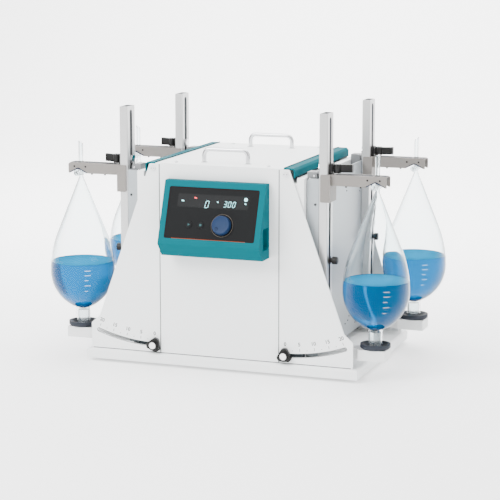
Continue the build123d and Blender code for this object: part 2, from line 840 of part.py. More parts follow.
carriage_low_z = deck_z + carriage_lift
carriage_top_z = carriage_low_z + carriage_h
with BuildPart() as carriage_plate:
    with BuildSketch(Plane.XY.offset(carriage_low_z)):
        with Locations((frame_out_x + swing_gap, carriage_low_y)):
            Rectangle(carriage_out_x - frame_out_x - swing_gap, carriage_high_y - carriage_low_y,
                      align=(Align.MIN, Align.MIN))
        with Locations((frame_out_x + swing_gap, carriage_low_y + carriage_t)):
            Rectangle(carriage_in_x - frame_out_x - swing_gap,
                      carriage_high_y - carriage_low_y - 2 * carriage_t,
                      align=(Align.MIN, Align.MIN), mode=Mode.SUBTRACT)
    extrude(amount=carriage_top_z - carriage_low_z)
    corner_edges = carriage_plate.edges().filter_by(Axis.Y).group_by(Axis.X)[0].group_by(Axis.Z)[-1]
    fillet(corner_edges, guide_block_r)
    with BuildSketch(upright(carriage_low_y + carriage_t)):
        with Locations((carriage_out_x - guide_block_r, deck_z + carriage_mark_z)):
            Circle(carriage_mark_r)
    extrude(amount=carriage_t, mode=Mode.SUBTRACT)

with BuildPart() as linear_bearings:
    for z in (bearing_lower_z, bearing_upper_z):
        with BuildSketch(Plane.XY.offset(deck_z + z)):
            for y in stations.values():
                with Locations((carriage_in_x, y)):
                    Rectangle(carriage_in_x - bearing_back, bearing_w, align=(Align.MAX, Align.CENTER))
                with Locations((guide_x, y)):
                    Circle(guide_r + turn_gap, mode=Mode.SUBTRACT)
        extrude(amount=bearing_h)

with BuildPart() as rest_arms:
    with BuildSketch(Plane.XY.offset(deck_z + rest_z)):
        for y in stations.values():
            with Locations((carriage_out_x, y)):
                Rectangle(rest_block_x - carriage_out_x, rest_arm_d, align=(Align.MIN, Align.CENTER))
            with Locations((rest_block_x, y)):
                Rectangle(rest_out_x - rest_block_x, rest_block_d, align=(Align.MIN, Align.CENTER))
    extrude(amount=rest_h)
    fillet(rest_arms.edges().filter_by(Axis.Z).group_by(Axis.X)[-1], rest_edge_r)

with BuildPart() as rubber_cups:
    with BuildSketch(Plane.XY.offset(rest_top_z)):
        for y in stations.values():
            with Locations((funnel_x, y)):
                Circle(cup_r)
    extrude(amount=cup_h)
    chamfer(rubber_cups.edges().group_by(Axis.Z)[0], cup_r - cup_base_r)
    for y in stations.values():
        with BuildSketch(Plane.XY.offset(rest_top_z + cup_well_floor)) as well_floor:
            with Locations((funnel_x, y)):
                Circle(cup_seat_r)
        with BuildSketch(Plane.XY.offset(cup_top_z)) as well_mouth:
            with Locations((funnel_x, y)):
                Circle(cup_well_r)
        loft([well_floor.sketch.face(), well_mouth.sketch.face()], ruled=True, mode=Mode.SUBTRACT)

# Each funnel is a drop on a vertical axis: two arcs and a cone.
low_centre_r = bulb_r - bulb_low_curve
top_centre_r = bulb_r - bulb_top_curve
apex = hypot(stem_r - top_centre_r, stem_join_z - bulb_z)
touch_angle = atan2(stem_join_z - bulb_z, stem_r - top_centre_r) - acos(bulb_top_curve / apex)


def half_section(wall, throat_r, tube_r):
    """Closed half section of the funnel, heights from the deck, at a distance wall inside the glass."""
    low_curve = bulb_low_curve - wall
    top_curve = bulb_top_curve - wall
    throat_angle = acos((throat_r - low_centre_r) / low_curve)

    def low_point(angle):
        return low_centre_r + low_curve * cos(angle), bulb_z - low_curve * sin(angle)

    def top_point(angle):
        return top_centre_r + top_curve * cos(angle), bulb_z + top_curve * sin(angle)

    throat = low_point(throat_angle)
    waist = (bulb_r - wall, bulb_z)
    touch = top_point(touch_angle)
    tube = (tube_r, touch[1] + (touch[0] - tube_r) / tan(touch_angle))
    with BuildSketch(Plane.XZ.shift_origin((0, 0, deck_z))) as section:
        with BuildLine():
            Polyline((0, stem_top_z), (0, neck_z), (throat_r, neck_z), throat)
            ThreePointArc(throat, low_point(throat_angle / 2), waist)
            ThreePointArc(waist, top_point(touch_angle / 2), touch)
            Polyline(touch, tube, (tube_r, stem_top_z), (0, stem_top_z))
        make_face()
    return section.sketch


glass_section = half_section(0, neck_r, stem_r)
hollow_section = half_section(glass, stopper_plug_r + turn_gap, stem_bore)
with BuildPart() as funnel:
    revolve(glass_section, axis=Axis.Z)
    with BuildSketch(upright(cock_len / 2)):
        with Locations((0, deck_z + cock_z)):
            Circle(cock_r)
    extrude(amount=cock_len)
    revolve(hollow_section, axis=Axis.Z, mode=Mode.SUBTRACT)
    with BuildSketch(upright(cock_len)):
        with Locations((0, deck_z + cock_z)):
            Circle(cock_plug_r + turn_gap)
    extrude(amount=2 * cock_len, mode=Mode.SUBTRACT)
    with BuildSketch(upright(stem_r)):
        with BuildLine():
            Polyline((-stem_r, deck_z + stem_top_z - stem_bevel), (stem_r, deck_z + stem_top_z),
                     (-stem_r, deck_z + stem_top_z), close=True)
        make_face()
    extrude(amount=2 * stem_r, mode=Mode.SUBTRACT)

with BuildPart() as stopper:
    with BuildSketch(Plane.XY.offset(deck_z + stopper_head_z)):
        Circle(stopper_head_r)
    extrude(amount=neck_z - stopper_head_z)
    fillet(stopper.edges().group_by(Axis.Z)[0], glass)
    with BuildSketch(Plane.XY.offset(deck_z + neck_z)):
        Circle(stopper_plug_r)
    extrude(amount=stopper_plug_len)

with BuildPart() as stopcock_plug:
    with BuildSketch(upright(cock_len / 2 + slide_gap)):
        with Locations((0, deck_z + cock_z)):
            Circle(cock_plug_r)
    extrude(amount=cock_len + 2 * slide_gap)
    with BuildSketch(upright(-cock_len / 2 - slide_gap)):
        with Locations((0, deck_z + cock_z)):
            Circle(cock_cap_r)
    extrude(amount=cock_cap_t)
    with BuildSketch(upright(cock_len / 2 + slide_gap)):
        with Locations((0, deck_z + cock_z)):
            Circle(cock_nut_r)
    extrude(amount=-cock_nut_t)
    with BuildSketch(sideways(-cock_plug_r)):
        with Locations((0, deck_z + cock_z)):
            Circle(stem_bore)
    extrude(amount=2 * cock_plug_r, mode=Mode.SUBTRACT)

knob_height = deck_z + post_knob_z
with BuildPart() as posts:
    for y in stations.values():
        with BuildSketch(Plane.XY.offset(rest_top_z)):
            with Locations((carriage_out_x, y)):
                Rectangle(post_t, post_d, align=(Align.MIN, Align.CENTER))
        extrude(amount=deck_z + post_top_z - rest_top_z)
    fillet(posts.edges().filter_by(Axis.Z), post_r)
    for y in stations.values():
        with BuildSketch(Plane.XY.offset(rest_top_z)):
            with Locations((carriage_out_x + post_wall, y)):
                Rectangle(post_t - 2 * post_wall, post_d - 2 * post_wall, align=(Align.MIN, Align.CENTER))
        extrude(amount=deck_z + post_top_z - rest_top_z, mode=Mode.SUBTRACT)
        with BuildSketch(sideways(carriage_out_x)):
            for low, high in ((post_slot_low_z, post_slot_top_z), (post_slot2_low_z, post_slot2_top_z)):
                with Locations((y, deck_z + (low + high) / 2)):
                    SlotOverall(high - low, post_slot_w, rotation=90)
        extrude(amount=post_t, mode=Mode.SUBTRACT)

# Clamp arm, drawn at the origin in Y: U-shaped sleeve, ear, arm and clamp bolt
sleeve_half = post_d / 2 + slide_gap + sleeve_t
notch_h = cock_z + (cock_r + notch_gap) / cos(radians(notch_lean)) - arm_top_z + arm_h
notch_half = notch_h / tan(radians(notch_lean))
with BuildPart() as clamp_arm:
    with BuildSketch(Plane.XY.offset(deck_z + sleeve_low_z)):
        with Locations((sleeve_in_x, 0)):
            Rectangle(sleeve_out_x - sleeve_in_x, 2 * sleeve_half, align=(Align.MIN, Align.CENTER))
            Rectangle(post_out_x + slide_gap - sleeve_in_x, post_d + 2 * slide_gap,
                      align=(Align.MIN, Align.CENTER), mode=Mode.SUBTRACT)
    extrude(amount=arm_top_z - sleeve_low_z)
    fillet(clamp_arm.edges().filter_by(Axis.Y).group_by(Axis.X)[0], sleeve_r)
    with BuildSketch(sideways(post_out_x + slide_gap)):
        with Locations((0, deck_z + arm_top_z - sleeve_t)):
            Rectangle(ear_w, ear_top_z - arm_top_z + sleeve_t, align=(Align.CENTER, Align.MIN))
    extrude(amount=sleeve_out_x - post_out_x - slide_gap)
    fillet(clamp_arm.edges().filter_by(Axis.X).group_by(Axis.Z)[-1], sleeve_r)
    with BuildSketch(upright(arm_d / 2)):
        with BuildLine():
            Polyline(
                (sleeve_out_x, deck_z + arm_top_z),
                (arm_out_x, deck_z + arm_top_z),
                (arm_out_x, deck_z + arm_top_z - arm_h),
                (funnel_x + notch_half, deck_z + arm_top_z - arm_h),
                (funnel_x, deck_z + arm_top_z - arm_h + notch_h),
                (funnel_x - notch_half, deck_z + arm_top_z - arm_h),
                (sleeve_out_x, deck_z + arm_top_z - arm_h),
                close=True,
            )
        make_face()
    extrude(amount=arm_d)
    notch_edge = clamp_arm.edges().filter_by(Axis.Y).filter_by_position(Axis.X, funnel_x - 1, funnel_x + 1)
    fillet(notch_edge, notch_round)
    fillet(clamp_arm.edges().filter_by(Axis.Y).group_by(Axis.X)[-1].sort_by(Axis.Z)[-1], arm_corner_r)
    with BuildSketch(upright(arm_d / 2 - arm_t)):
        with Locations((sleeve_out_x, deck_z + arm_top_z - arm_t)):
            Rectangle(arm_out_x - sleeve_out_x, arm_h, align=(Align.MIN, Align.MAX))
    extrude(amount=arm_d - 2 * arm_t, mode=Mode.SUBTRACT)
    with BuildSketch(Plane.XY.offset(deck_z + arm_top_z)):
        with Locations((funnel_x, 0)):
            Circle(arm_hole_r)
    extrude(amount=-arm_t, mode=Mode.SUBTRACT)
    with BuildSketch(sideways(sleeve_out_x)):
        with Locations((0, deck_z + clamp_z)):
            Circle(clamp_washer_r)
    extrude(amount=cam_x - cam_r - slide_gap - sleeve_out_x)
    with BuildSketch(sideways(carriage_out_x - slide_gap)):
        with Locations((0, deck_z + clamp_z)):
            Circle(clamp_bolt_r)
    extrude(amount=sleeve_out_x - carriage_out_x + slide_gap)
    with BuildSketch(sideways(carriage_out_x - slide_gap)):
        with Locations((0, deck_z + clamp_z)):
            RegularPolygon(clamp_nut_r, 6)
    extrude(amount=-clamp_nut_t)

with BuildPart() as clamp_lever:
    with BuildSketch(Plane.XY.offset(deck_z + clamp_z - cam_h / 2)):
        with Locations((cam_x, 0)):
            Circle(cam_r)
    extrude(amount=cam_h)
    with BuildSketch(Plane.XY.offset(deck_z + clamp_z - lever_h / 2)):
        with BuildLine():
            Polyline(
                (cam_x, -lever_t / 2),
                (lever_out_x, lever_lean - lever_t / 2),
                (lever_out_x, lever_lean + lever_tip),
                (lever_out_x - lever_tip, lever_lean + lever_tip),
                (lever_out_x - lever_tip, lever_lean + lever_t / 2),
                (cam_x, lever_t / 2),
                close=True,
            )
        make_face()
    extrude(amount=lever_h)

with BuildPart() as post_knob:
    with BuildSketch(sideways(post_out_x + slide_gap)):
        with Locations((0, knob_height)):
            Circle(post_knob_washer_r)
    extrude(amount=post_knob_washer_t)
    with BuildSketch(sideways(post_out_x + slide_gap)):
        with Locations((0, knob_height)):
            Circle(post_knob_stem_r)
    extrude(amount=post_knob_gap)
    with BuildSketch(sideways(post_out_x + slide_gap + post_knob_gap)):
        with Locations((0, knob_height)):
            Circle(post_knob_r)
    extrude(amount=post_knob_t)
    fillet(post_knob.edges().filter_by(GeomType.CIRCLE).group_by(Axis.X)[-1], post_knob_t / 5)
    with BuildSketch(sideways(post_out_x + slide_gap)):
        with Locations((0, knob_height)):
            Circle(post_knob_stud_r)
    extrude(amount=carriage_out_x + slide_gap - post_out_x - slide_gap)

with BuildPart() as tilt_knob:
    with BuildSketch(upright(front_y - tilt_knob_gap)) as lobes:
        with Locations((pivot_x, knob_z)):
            RegularPolygon(tilt_knob_flat, 3, major_radius=False, rotation=90)
            Circle(tilt_knob_r, mode=Mode.INTERSECT)
        fillet(lobes.vertices(), tilt_knob_round)
    extrude(amount=tilt_knob_t)
    fillet(tilt_knob.edges().group_by(Axis.Y)[0], tilt_knob_round / 2)
    with BuildSketch(upright(front_y - tilt_knob_gap - tilt_knob_t)):
        with Locations((pivot_x, knob_z)):
            Circle(tilt_boss_r)
    extrude(amount=tilt_boss_t)
    with BuildSketch(upright(front_y - tilt_knob_gap - tilt_knob_t - tilt_boss_t)):
        with Locations((pivot_x, knob_z)):
            Circle(tilt_cap_r)
    extrude(amount=-tilt_cap_t, mode=Mode.SUBTRACT)
    with BuildSketch(upright(front_y - tilt_knob_gap)):
        with Locations((pivot_x, knob_z)):
            Circle(stud_r)
    extrude(amount=-tilt_knob_gap - wing_t - swing_gap - frame_wall)

# Export: chassis pieces once, rack pieces at their stations and mirrored to the left

chassis = {
    "base_plate": base_plate.part,
    "rubber_feet": rubber_feet.part,
    "body_shell": body_shell.part,
    "rear_panel": rear_panel.part,
    "wing_plates": wing_pair.part + mirror(wing_pair.part, Plane.YZ),
    "pivot_bolts": pivot_pair.part + mirror(pivot_pair.part, Plane.YZ),
    "top_rails": rail_side.part + mirror(rail_side.part, Plane.YZ),
    "top_cover": top_cover.part,
    "carry_handles": carry_handles.part,
    "cover_screws": cover_screws.part,
    "control_housing": control_housing.part,
    "control_fascia": control_fascia.part,
    "dial": dial.part,
    "start_key": start_key,
    "stop_key": stop_key,
    "power_switch": switch_place * power_switch.part,
    "power_inlet": power_inlet.part,
    "drive_unit": drive_unit.part,
}
rack = {
    "tilt_frame": tilt_frame.part,
    "guide_shafts": guide_shafts.part,
    "gearmotor": gearmotor.part,
    "crank_disc": crank_disc.part,
    "drive_yoke": drive_yoke.part,
    "carriage_plate": carriage_plate.part,
    "linear_bearings": linear_bearings.part,
    "rest_arms": rest_arms.part,
    "rubber_cups": rubber_cups.part,
    "posts": posts.part,
    "tilt_knob": tilt_knob.part,
}
at_station = {name: Pos(0, y, 0) for name, y in stations.items()}
at_funnel = {name: Pos(funnel_x, y, 0) for name, y in stations.items()}
rack["funnels"] = at_funnel["front"] * funnel.part + at_funnel["rear"] * funnel.part
rack["stoppers"] = at_funnel["front"] * stopper.part + at_funnel["rear"] * stopper.part
for station in stations:
    rack[f"stopcock_plug_{station}"] = at_funnel[station] * stopcock_plug.part
    rack[f"clamp_arm_{station}"] = at_station[station] * clamp_arm.part
    rack[f"clamp_lever_{station}"] = at_station[station] * clamp_lever.part
    rack[f"post_knob_{station}"] = at_station[station] * post_knob.part

nodes = dict(chassis)
for name, piece in rack.items():
    nodes[f"{name}_right"] = piece
    nodes[f"{name}_left"] = mirror(piece, Plane.YZ)
left_knob_axis = Axis((-pivot_x, front_y, knob_z), (0, -1, 0))
nodes["tilt_knob_left"] = nodes["tilt_knob_left"].rotate(left_knob_axis, tilt_knob_left_turn)

os.makedirs("parts", exist_ok=True)
for name, piece in nodes.items():
    piece.label = name
    export_step(piece, f"parts/{name}.step")
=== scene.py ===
"""Finishes, printed marks, glassware and light for the separatory funnel shaker."""

import logging
import math
from dataclasses import dataclass
from enum import Enum
from typing import Callable, Sequence

import bmesh
import bpy
from mathutils import Matrix, Vector


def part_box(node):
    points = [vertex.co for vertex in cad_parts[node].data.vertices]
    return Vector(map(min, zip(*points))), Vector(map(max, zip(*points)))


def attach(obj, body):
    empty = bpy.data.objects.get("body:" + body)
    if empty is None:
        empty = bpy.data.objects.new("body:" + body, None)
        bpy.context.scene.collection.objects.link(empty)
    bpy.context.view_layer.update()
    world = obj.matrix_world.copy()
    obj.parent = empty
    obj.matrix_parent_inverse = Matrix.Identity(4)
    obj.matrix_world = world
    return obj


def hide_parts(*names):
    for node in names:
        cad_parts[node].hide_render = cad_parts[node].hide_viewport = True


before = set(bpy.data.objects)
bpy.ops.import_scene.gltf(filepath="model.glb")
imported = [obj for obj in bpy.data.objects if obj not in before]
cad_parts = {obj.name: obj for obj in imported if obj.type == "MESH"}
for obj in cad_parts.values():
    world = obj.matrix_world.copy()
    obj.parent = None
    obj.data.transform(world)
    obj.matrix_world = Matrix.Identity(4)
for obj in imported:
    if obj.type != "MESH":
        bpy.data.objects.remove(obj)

log = logging.getLogger("shaker")
MM = 0.001
SIDES = {"right": 1, "left": -1}
STATIONS = ("front", "rear")

# Millimetres within which a CAD node's corners are one, and degrees from which its edges are softened
WELD_MM, SOFT_ANGLE = 0.02, 35.0
# Share of a letter's size that a numeral fills, and its added stroke as a share of its height
DIGIT_SHARE, DIGIT_BOLD = 0.7, 0.03
# Change of roughness over a surface, and share by which brushed grain is drawn out
GLOSS_SWING, BRUSH_STRETCH = 0.04, 0.02
# Millimetres that keep two faces from lying in one plane
HAIR = 0.05
# Facing values between which clear stuff turns to its rim colour
RIM_FROM, RIM_TO = 0.55, 0.92


def linear(code: str) -> tuple[float, float, float, float]:
    """Turns an sRGB hex code into a linear colour.

    Args:
        code: six hex digits after a hash.

    Returns:
        Linear red, green, blue and full alpha.
    """
    values = [int(code[i:i + 2], 16) / 255 for i in (1, 3, 5)]
    low = [v / 12.92 if v <= 0.04045 else ((v + 0.055) / 1.055) ** 2.4 for v in values]
    return low[0], low[1], low[2], 1.0


def add_node(tree: bpy.types.NodeTree, kind: str, settings: dict | None = None,
             links: dict | None = None) -> bpy.types.Node:
    """Adds one shader node.

    Args:
        tree: the node tree that gets the node.
        kind: the node's type name.
        settings: values for attributes, or for input sockets by name.
        links: output sockets to join to this node's inputs, by input name.

    Returns:
        The new node.
    """
    node = tree.nodes.new(kind)
    for key, value in (settings or {}).items():
        if key in node.inputs:
            node.inputs[key].default_value = value
        else:
            setattr(node, key, value)
    for key, socket in (links or {}).items():
        tree.links.new(socket, node.inputs[key])
    return node


class Grain(Enum):
    """Surface relief of a finish."""

    SMOOTH = "smooth"
    SPECKLED = "speckled"
    BRUSHED_Z = "brushed along Z"


@dataclass(frozen=True)
class Finish:
    """One real surface: its colour, gloss and relief.

    Attributes:
        name: the material's name.
        color: sRGB hex code of the base colour.
        rough: mean roughness.
        metal: metallic share.
        grain: kind of relief.
        grain_mm: size of the relief in millimetres.
        relief_mm: height of the relief in millimetres, unless the grain is smooth.
        mottle: share by which the colour varies.
        clear: transmission share.
        ior: index of refraction, where it isn't the default.
        glow: emission strength.
        spec: share of the usual surface reflection.
        rim: sRGB hex code that the colour takes where the surface curves away, or empty; on the glass this is
            a painted reflection.
        mirror: sRGB hex code that tints the reflection seen straight on.
    """

    name: str
    color: str
    rough: float
    metal: float = 0.0
    grain: Grain = Grain.SMOOTH
    grain_mm: float = 1.0
    relief_mm: float = 0.0
    mottle: float = 0.0
    clear: float = 0.0
    ior: float = 1.5
    glow: float = 0.0
    spec: float = 0.5
    rim: str = ""
    mirror: str = "#FFFFFF"

    def build(self) -> bpy.types.Material:
        """Makes the material, or returns the one already made.

        Returns:
            The Blender material.
        """
        old = bpy.data.materials.get(self.name)
        if old:
            return old
        made = bpy.data.materials.new(self.name)
        made.use_nodes = True
        tree = made.node_tree
        tree.nodes.clear()
        color = linear(self.color)
        made.diffuse_color = color
        shader = add_node(tree, "ShaderNodeBsdfPrincipled", {
            "Base Color": color, "Roughness": self.rough, "Metallic": self.metal,
            "Transmission Weight": self.clear, "IOR": self.ior, "Specular IOR Level": self.spec,
            "Specular Tint": linear(self.mirror)})
        if self.glow:
            shader.inputs["Emission Color"].default_value = color
            shader.inputs["Emission Strength"].default_value = self.glow
        self._relief(tree, shader, color)
        if self.rim:
            self._edge_tint(tree, shader)
        add_node(tree, "ShaderNodeOutputMaterial", links={"Surface": shader.outputs["BSDF"]})
        return made

    def _edge_tint(self, tree: bpy.types.NodeTree, shader: bpy.types.Node) -> None:
        """Turns the colour of clear stuff towards its rim colour where it is seen edge on.

        Args:
            tree: the material's node tree.
            shader: the shader that gets the colour.
        """
        turned = add_node(tree, "ShaderNodeLayerWeight", {"Blend": 0.5}).outputs["Facing"]
        ramp = add_node(tree, "ShaderNodeValToRGB", links={"Fac": turned})
        ramp.color_ramp.elements[0].position = RIM_FROM
        ramp.color_ramp.elements[0].color = linear(self.color)
        ramp.color_ramp.elements[1].position = RIM_TO
        ramp.color_ramp.elements[1].color = linear(self.rim)
        tree.links.new(ramp.outputs["Color"], shader.inputs["Base Color"])

    def _relief(self, tree: bpy.types.NodeTree, shader: bpy.types.Node, color: tuple) -> None:
        """Joins noise in real millimetres to the colour, gloss and bump.

        Args:
            tree: the material's node tree.
            shader: the shader that gets them.
            color: the linear base colour.
        """
        place = add_node(tree, "ShaderNodeTexCoord").outputs["Object"]
        stretch = (1, 1, BRUSH_STRETCH) if self.grain is Grain.BRUSHED_Z else (1, 1, 1)
        place = add_node(tree, "ShaderNodeMapping", {"Scale": stretch}, {"Vector": place}).outputs["Vector"]
        noise = add_node(tree, "ShaderNodeTexNoise", {"Scale": 1 / (self.grain_mm * MM), "Detail": 3.0},
                         {"Vector": place}).outputs["Fac"]
        rough = add_node(tree, "ShaderNodeMapRange", {
            "To Min": max(self.rough - GLOSS_SWING, 0.0), "To Max": min(self.rough + GLOSS_SWING, 1.0)},
            {"Value": noise})
        if not self.clear:
            tree.links.new(rough.outputs["Result"], shader.inputs["Roughness"])
        if self.mottle:
            ramp = add_node(tree, "ShaderNodeValToRGB", links={"Fac": noise})
            ramp.color_ramp.elements[0].color = tuple(c * (1 - self.mottle) for c in color[:3]) + (1.0,)
            ramp.color_ramp.elements[1].color = color
            tree.links.new(ramp.outputs["Color"], shader.inputs["Base Color"])
        if self.grain is not Grain.SMOOTH:
            bump = add_node(tree, "ShaderNodeBump", {"Strength": 1.0, "Distance": self.relief_mm * MM},
                            {"Height": noise})
            tree.links.new(bump.outputs["Normal"], shader.inputs["Normal"])


# Grain sizes are the real ones in millimetres, so most of them show in close views only.

# Powder coat: a dry satin white with the fine pebbling of baked powder
WHITE = Finish("white_powder_coat", "#EBEDED", 0.55, grain=Grain.SPECKLED, grain_mm=0.9, relief_mm=0.05,
               mottle=0.02)
# Powder coat: a cooler, slightly glossier teal over formed sheet steel
TEAL = Finish("teal_powder_coat", "#02535C", 0.5, grain=Grain.SPECKLED, grain_mm=0.8, relief_mm=0.03,
              mottle=0.03, spec=0.01)
# Rail edges: the same coat darkened as painted shade
TEAL_SHADE = Finish("teal_painted_shade", "#01262D", 0.5, spec=0.05)
# Printed film: flat charcoal under a thin satin lacquer
FILM = Finish("charcoal_panel_film", "#121314", 0.5, grain_mm=0.4, mottle=0.04, spec=0.05)
# Display window: the same film over a pale backing, so it reads a little lighter
WINDOW = Finish("smoked_display_window", "#161718", 0.4, spec=0.06)
# Dial: blue elastomer with a dull even sheen
DIAL_BLUE = Finish("blue_soft_touch_dial", "#0C2240", 0.5, grain=Grain.SPECKLED, grain_mm=0.5,
                   relief_mm=0.02, spec=0.15)
# Finger dimple of the dial: the same blue in shade
DIMPLE = Finish("shaded_dial_dimple", "#07162C", 0.6, spec=0.1)
# Dial bezel: thin anodised bronze ring that catches the light
BRONZE = Finish("bronze_anodised_bezel", "#4A443D", 0.45, metal=0.6)
# Keys: charcoal rubber, drier than the film round them
KEY_GREY = Finish("charcoal_rubber_key", "#151617", 0.6, grain=Grain.SPECKLED, grain_mm=0.4,
                  relief_mm=0.01, spec=0.06)
# Screen printing: dark teal-grey ink, flat and thin
KEY_INK = Finish("teal_grey_ink", "#1F4245", 0.55, spec=0.2)
# Moulded nylon: black, with a faint sheen
BLACK = Finish("black_moulded_nylon", "#0A0A0A", 0.42, grain=Grain.SPECKLED, grain_mm=0.5, relief_mm=0.02,
               spec=0.3)
# Knob cap: glossy white plastic
CAP = Finish("white_knob_cap", "#F6F6F6", 0.3)
# Rubber feet: deep matt black
RUBBER = Finish("black_foot_rubber", "#161616", 0.8, grain=Grain.SPECKLED, grain_mm=0.7, relief_mm=0.03)
# Cup rubber: blue-grey with a waxy bloom
CUP = Finish("slate_cup_rubber", "#1E232C", 0.62, grain=Grain.SPECKLED, grain_mm=0.6, relief_mm=0.03,
             spec=0.3)
# Joint lines: painted shade of the narrow joints between the sheets, a matt mid grey line
JOINT_SHADE = Finish("grey_joint_painted_shade", "#4A4D4F", 0.7)
# Drawn steel with fine lines along its length
STEEL = Finish("brushed_steel", "#B9BABC", 0.34, metal=1.0, grain=Grain.BRUSHED_Z, grain_mm=0.5,
               relief_mm=0.01)
# Bolt heads: pale zinc plate with a soft gleam
ZINC = Finish("pale_zinc_plate", "#E2E3E5", 0.3, metal=0.6)
# Cast guide blocks: mid grey, barely shining
CAST = Finish("grey_cast_aluminium", "#77797B", 0.5, metal=0.5, grain=Grain.SPECKLED, grain_mm=0.6,
              relief_mm=0.02)
# Inside of an extrusion: the same metal, but in its own shade
HOLLOW = Finish("shaded_extrusion_hollow", "#6A6C6E", 0.6, metal=0.3, spec=0.2)
# Channel along the top of an arm: painted shade, a dark line
ARM_CHANNEL_SHADE = Finish("arm_channel_painted_shade", "#232527", 0.6, spec=0.2)
# Ground and polished steel: bright, with sharp dark reflections
BRIGHT = Finish("polished_steel", "#CFD0D2", 0.14, metal=1.0, grain_mm=2.0)
# Anodised extrusion: pale satin with die lines along the post
POST = Finish("satin_anodised_extrusion", "#C4C4C4", 0.36, metal=0.8, grain=Grain.BRUSHED_Z, grain_mm=0.6,
              relief_mm=0.012)
# Bead-blasted arm: warm grey, almost without gloss
ARM = Finish("warm_grey_blasted_aluminium", "#7A7672", 0.52, metal=0.35, grain=Grain.SPECKLED, grain_mm=0.4,
             relief_mm=0.02, mottle=0.03)
# Carriage sheet: cool grey satin metal paint
SHEET = Finish("cool_grey_satin_sheet", "#9DA3A7", 0.42, metal=0.35, grain=Grain.SPECKLED, grain_mm=0.7,
               relief_mm=0.02, mottle=0.03)
# Rest blocks: pale grey satin paint
REST = Finish("pale_grey_satin_paint", "#DCDDDD", 0.48, grain=Grain.SPECKLED, grain_mm=0.8, relief_mm=0.02)
# Notch lining: dark blue-grey rubber strip
LINING = Finish("slate_blue_lining", "#0F1A30", 0.7, spec=0.2)
# Borosilicate glass: clear, with a painted grey reflection on its rims where it curves away
GLASS = Finish("clear_borosilicate", "#F7FBFC", 0.0, clear=1.0, ior=1.47, rim="#8C999F",
               mirror="#606466")
# Ground joint: the same glass, a little frosted
GROUND = Finish("ground_glass_joint", "#EFF5F7", 0.16, clear=0.9, ior=1.47)
# Dyed water: sky blue that deepens where it is thick
DYE = Finish("sky_blue_dyed_water", "#0074B4", 0.02, clear=0.55, ior=1.33, spec=0.05, rim="#1FA6DC",
             mirror="#103040")
# Top of the liquid: the same blue, lit from above
DYE_TOP = Finish("bright_liquid_surface", "#0A8FC0", 0.3, spec=0.0)
# Painted shade in the tilt slot: a dull dark grey on the slot's edge, on a thin sheet behind the slot and in
# the bolt's holes
SLOT_SHADE = Finish("slot_painted_shade", "#1B2226", 0.65, spec=0.2)
# Printing ink of the tilt scale: thin matt grey
SCALE_INK = Finish("grey_scale_ink", "#202326", 0.6, spec=0.3)
# Gasket: dark red rubber that shows as a thin line round the film
GASKET = Finish("dark_red_gasket", "#1B0807", 0.6, spec=0.05)
# Light bar under the film: a dull orange glow
AMBER = Finish("amber_light_bar", "#6E2C06", 0.5, glow=0.06, spec=0.1)
# Display segments: cool light that reads nearly white, and one red sign
LIT_CYAN = Finish("pale_cyan_segments", "#9BE6EC", 0.4, glow=0.75)
LIT_RED = Finish("red_segments", "#E01824", 0.4, glow=1.1)
# Switch lamps: dim green and red lenses
LAMP_GREEN = Finish("green_switch_lamp", "#4F8A1E", 0.3, glow=0.2)
LAMP_RED = Finish("red_switch_lamp", "#7A2A22", 0.3, glow=0.1)
# Fired glass ink of the volume ticks: chalky white
ENAMEL_WHITE = Finish("white_fired_enamel", "#DDE9EF", 0.6)
# Motor housing: black satin enamel, smooth and low in gloss
ENAMEL = Finish("black_motor_enamel", "#1B1B1D", 0.4)
# Floor and backdrop: paper sweep, an even white without gloss
STUDIO = Finish("white_studio_paper", "#F4F4F4", 0.9, glow=0.5)


def place_piece(mesh: bpy.types.Mesh, finish: Finish, body: str | None = "chassis",
                smooth: float = 30.0) -> bpy.types.Object:
    """Puts a finished mesh into the scene under the mesh's own name.

    Args:
        mesh: the piece's mesh, in the row frame.
        finish: its surface.
        body: the CAD body it moves with, or None.
        smooth: angle in degrees below which faces shade smoothly.

    Returns:
        The new object.
    """
    piece = bpy.data.objects.new(mesh.name, mesh)
    bpy.context.scene.collection.objects.link(piece)
    mesh.materials.append(finish.build())
    mesh.polygons.foreach_set("use_smooth", [True] * len(mesh.polygons))
    mesh.set_sharp_from_angle(angle=math.radians(smooth))
    if body:
        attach(piece, body)
    log.info("placed %s in %s", piece.name, finish.name)
    return piece


def mesh_from(name: str, work: bmesh.types.BMesh, place: Matrix | None = None) -> bpy.types.Mesh:
    """Turns a bmesh into a mesh with its normals outwards.

    Args:
        name: the mesh's name.
        work: the bmesh, which is freed.
        place: where the local frame stands, or None where it is the row frame.

    Returns:
        The mesh.
    """
    if place is not None:
        bmesh.ops.transform(work, matrix=place, verts=work.verts)
    bmesh.ops.recalc_face_normals(work, faces=work.faces)
    mesh = bpy.data.meshes.new(name)
    work.to_mesh(mesh)
    work.free()
    return mesh


def skin(work: bmesh.types.BMesh, rows: Sequence[Sequence[bmesh.types.BMVert]], ends: bool = False) -> None:
    """Joins closed rows of vertices with faces.

    Args:
        work: the bmesh that gets the faces.
        rows: closed rows, each with as many vertices as the next.
        ends: whether the first and the last row get a face of their own.
    """
    for low, high in zip(rows, rows[1:]):
        for i in range(len(low)):
            j = (i + 1) % len(low)
            work.faces.new((low[i], low[j], high[j], high[i]))
    if ends:
        work.faces.new(rows[0])
        work.faces.new(rows[-1])


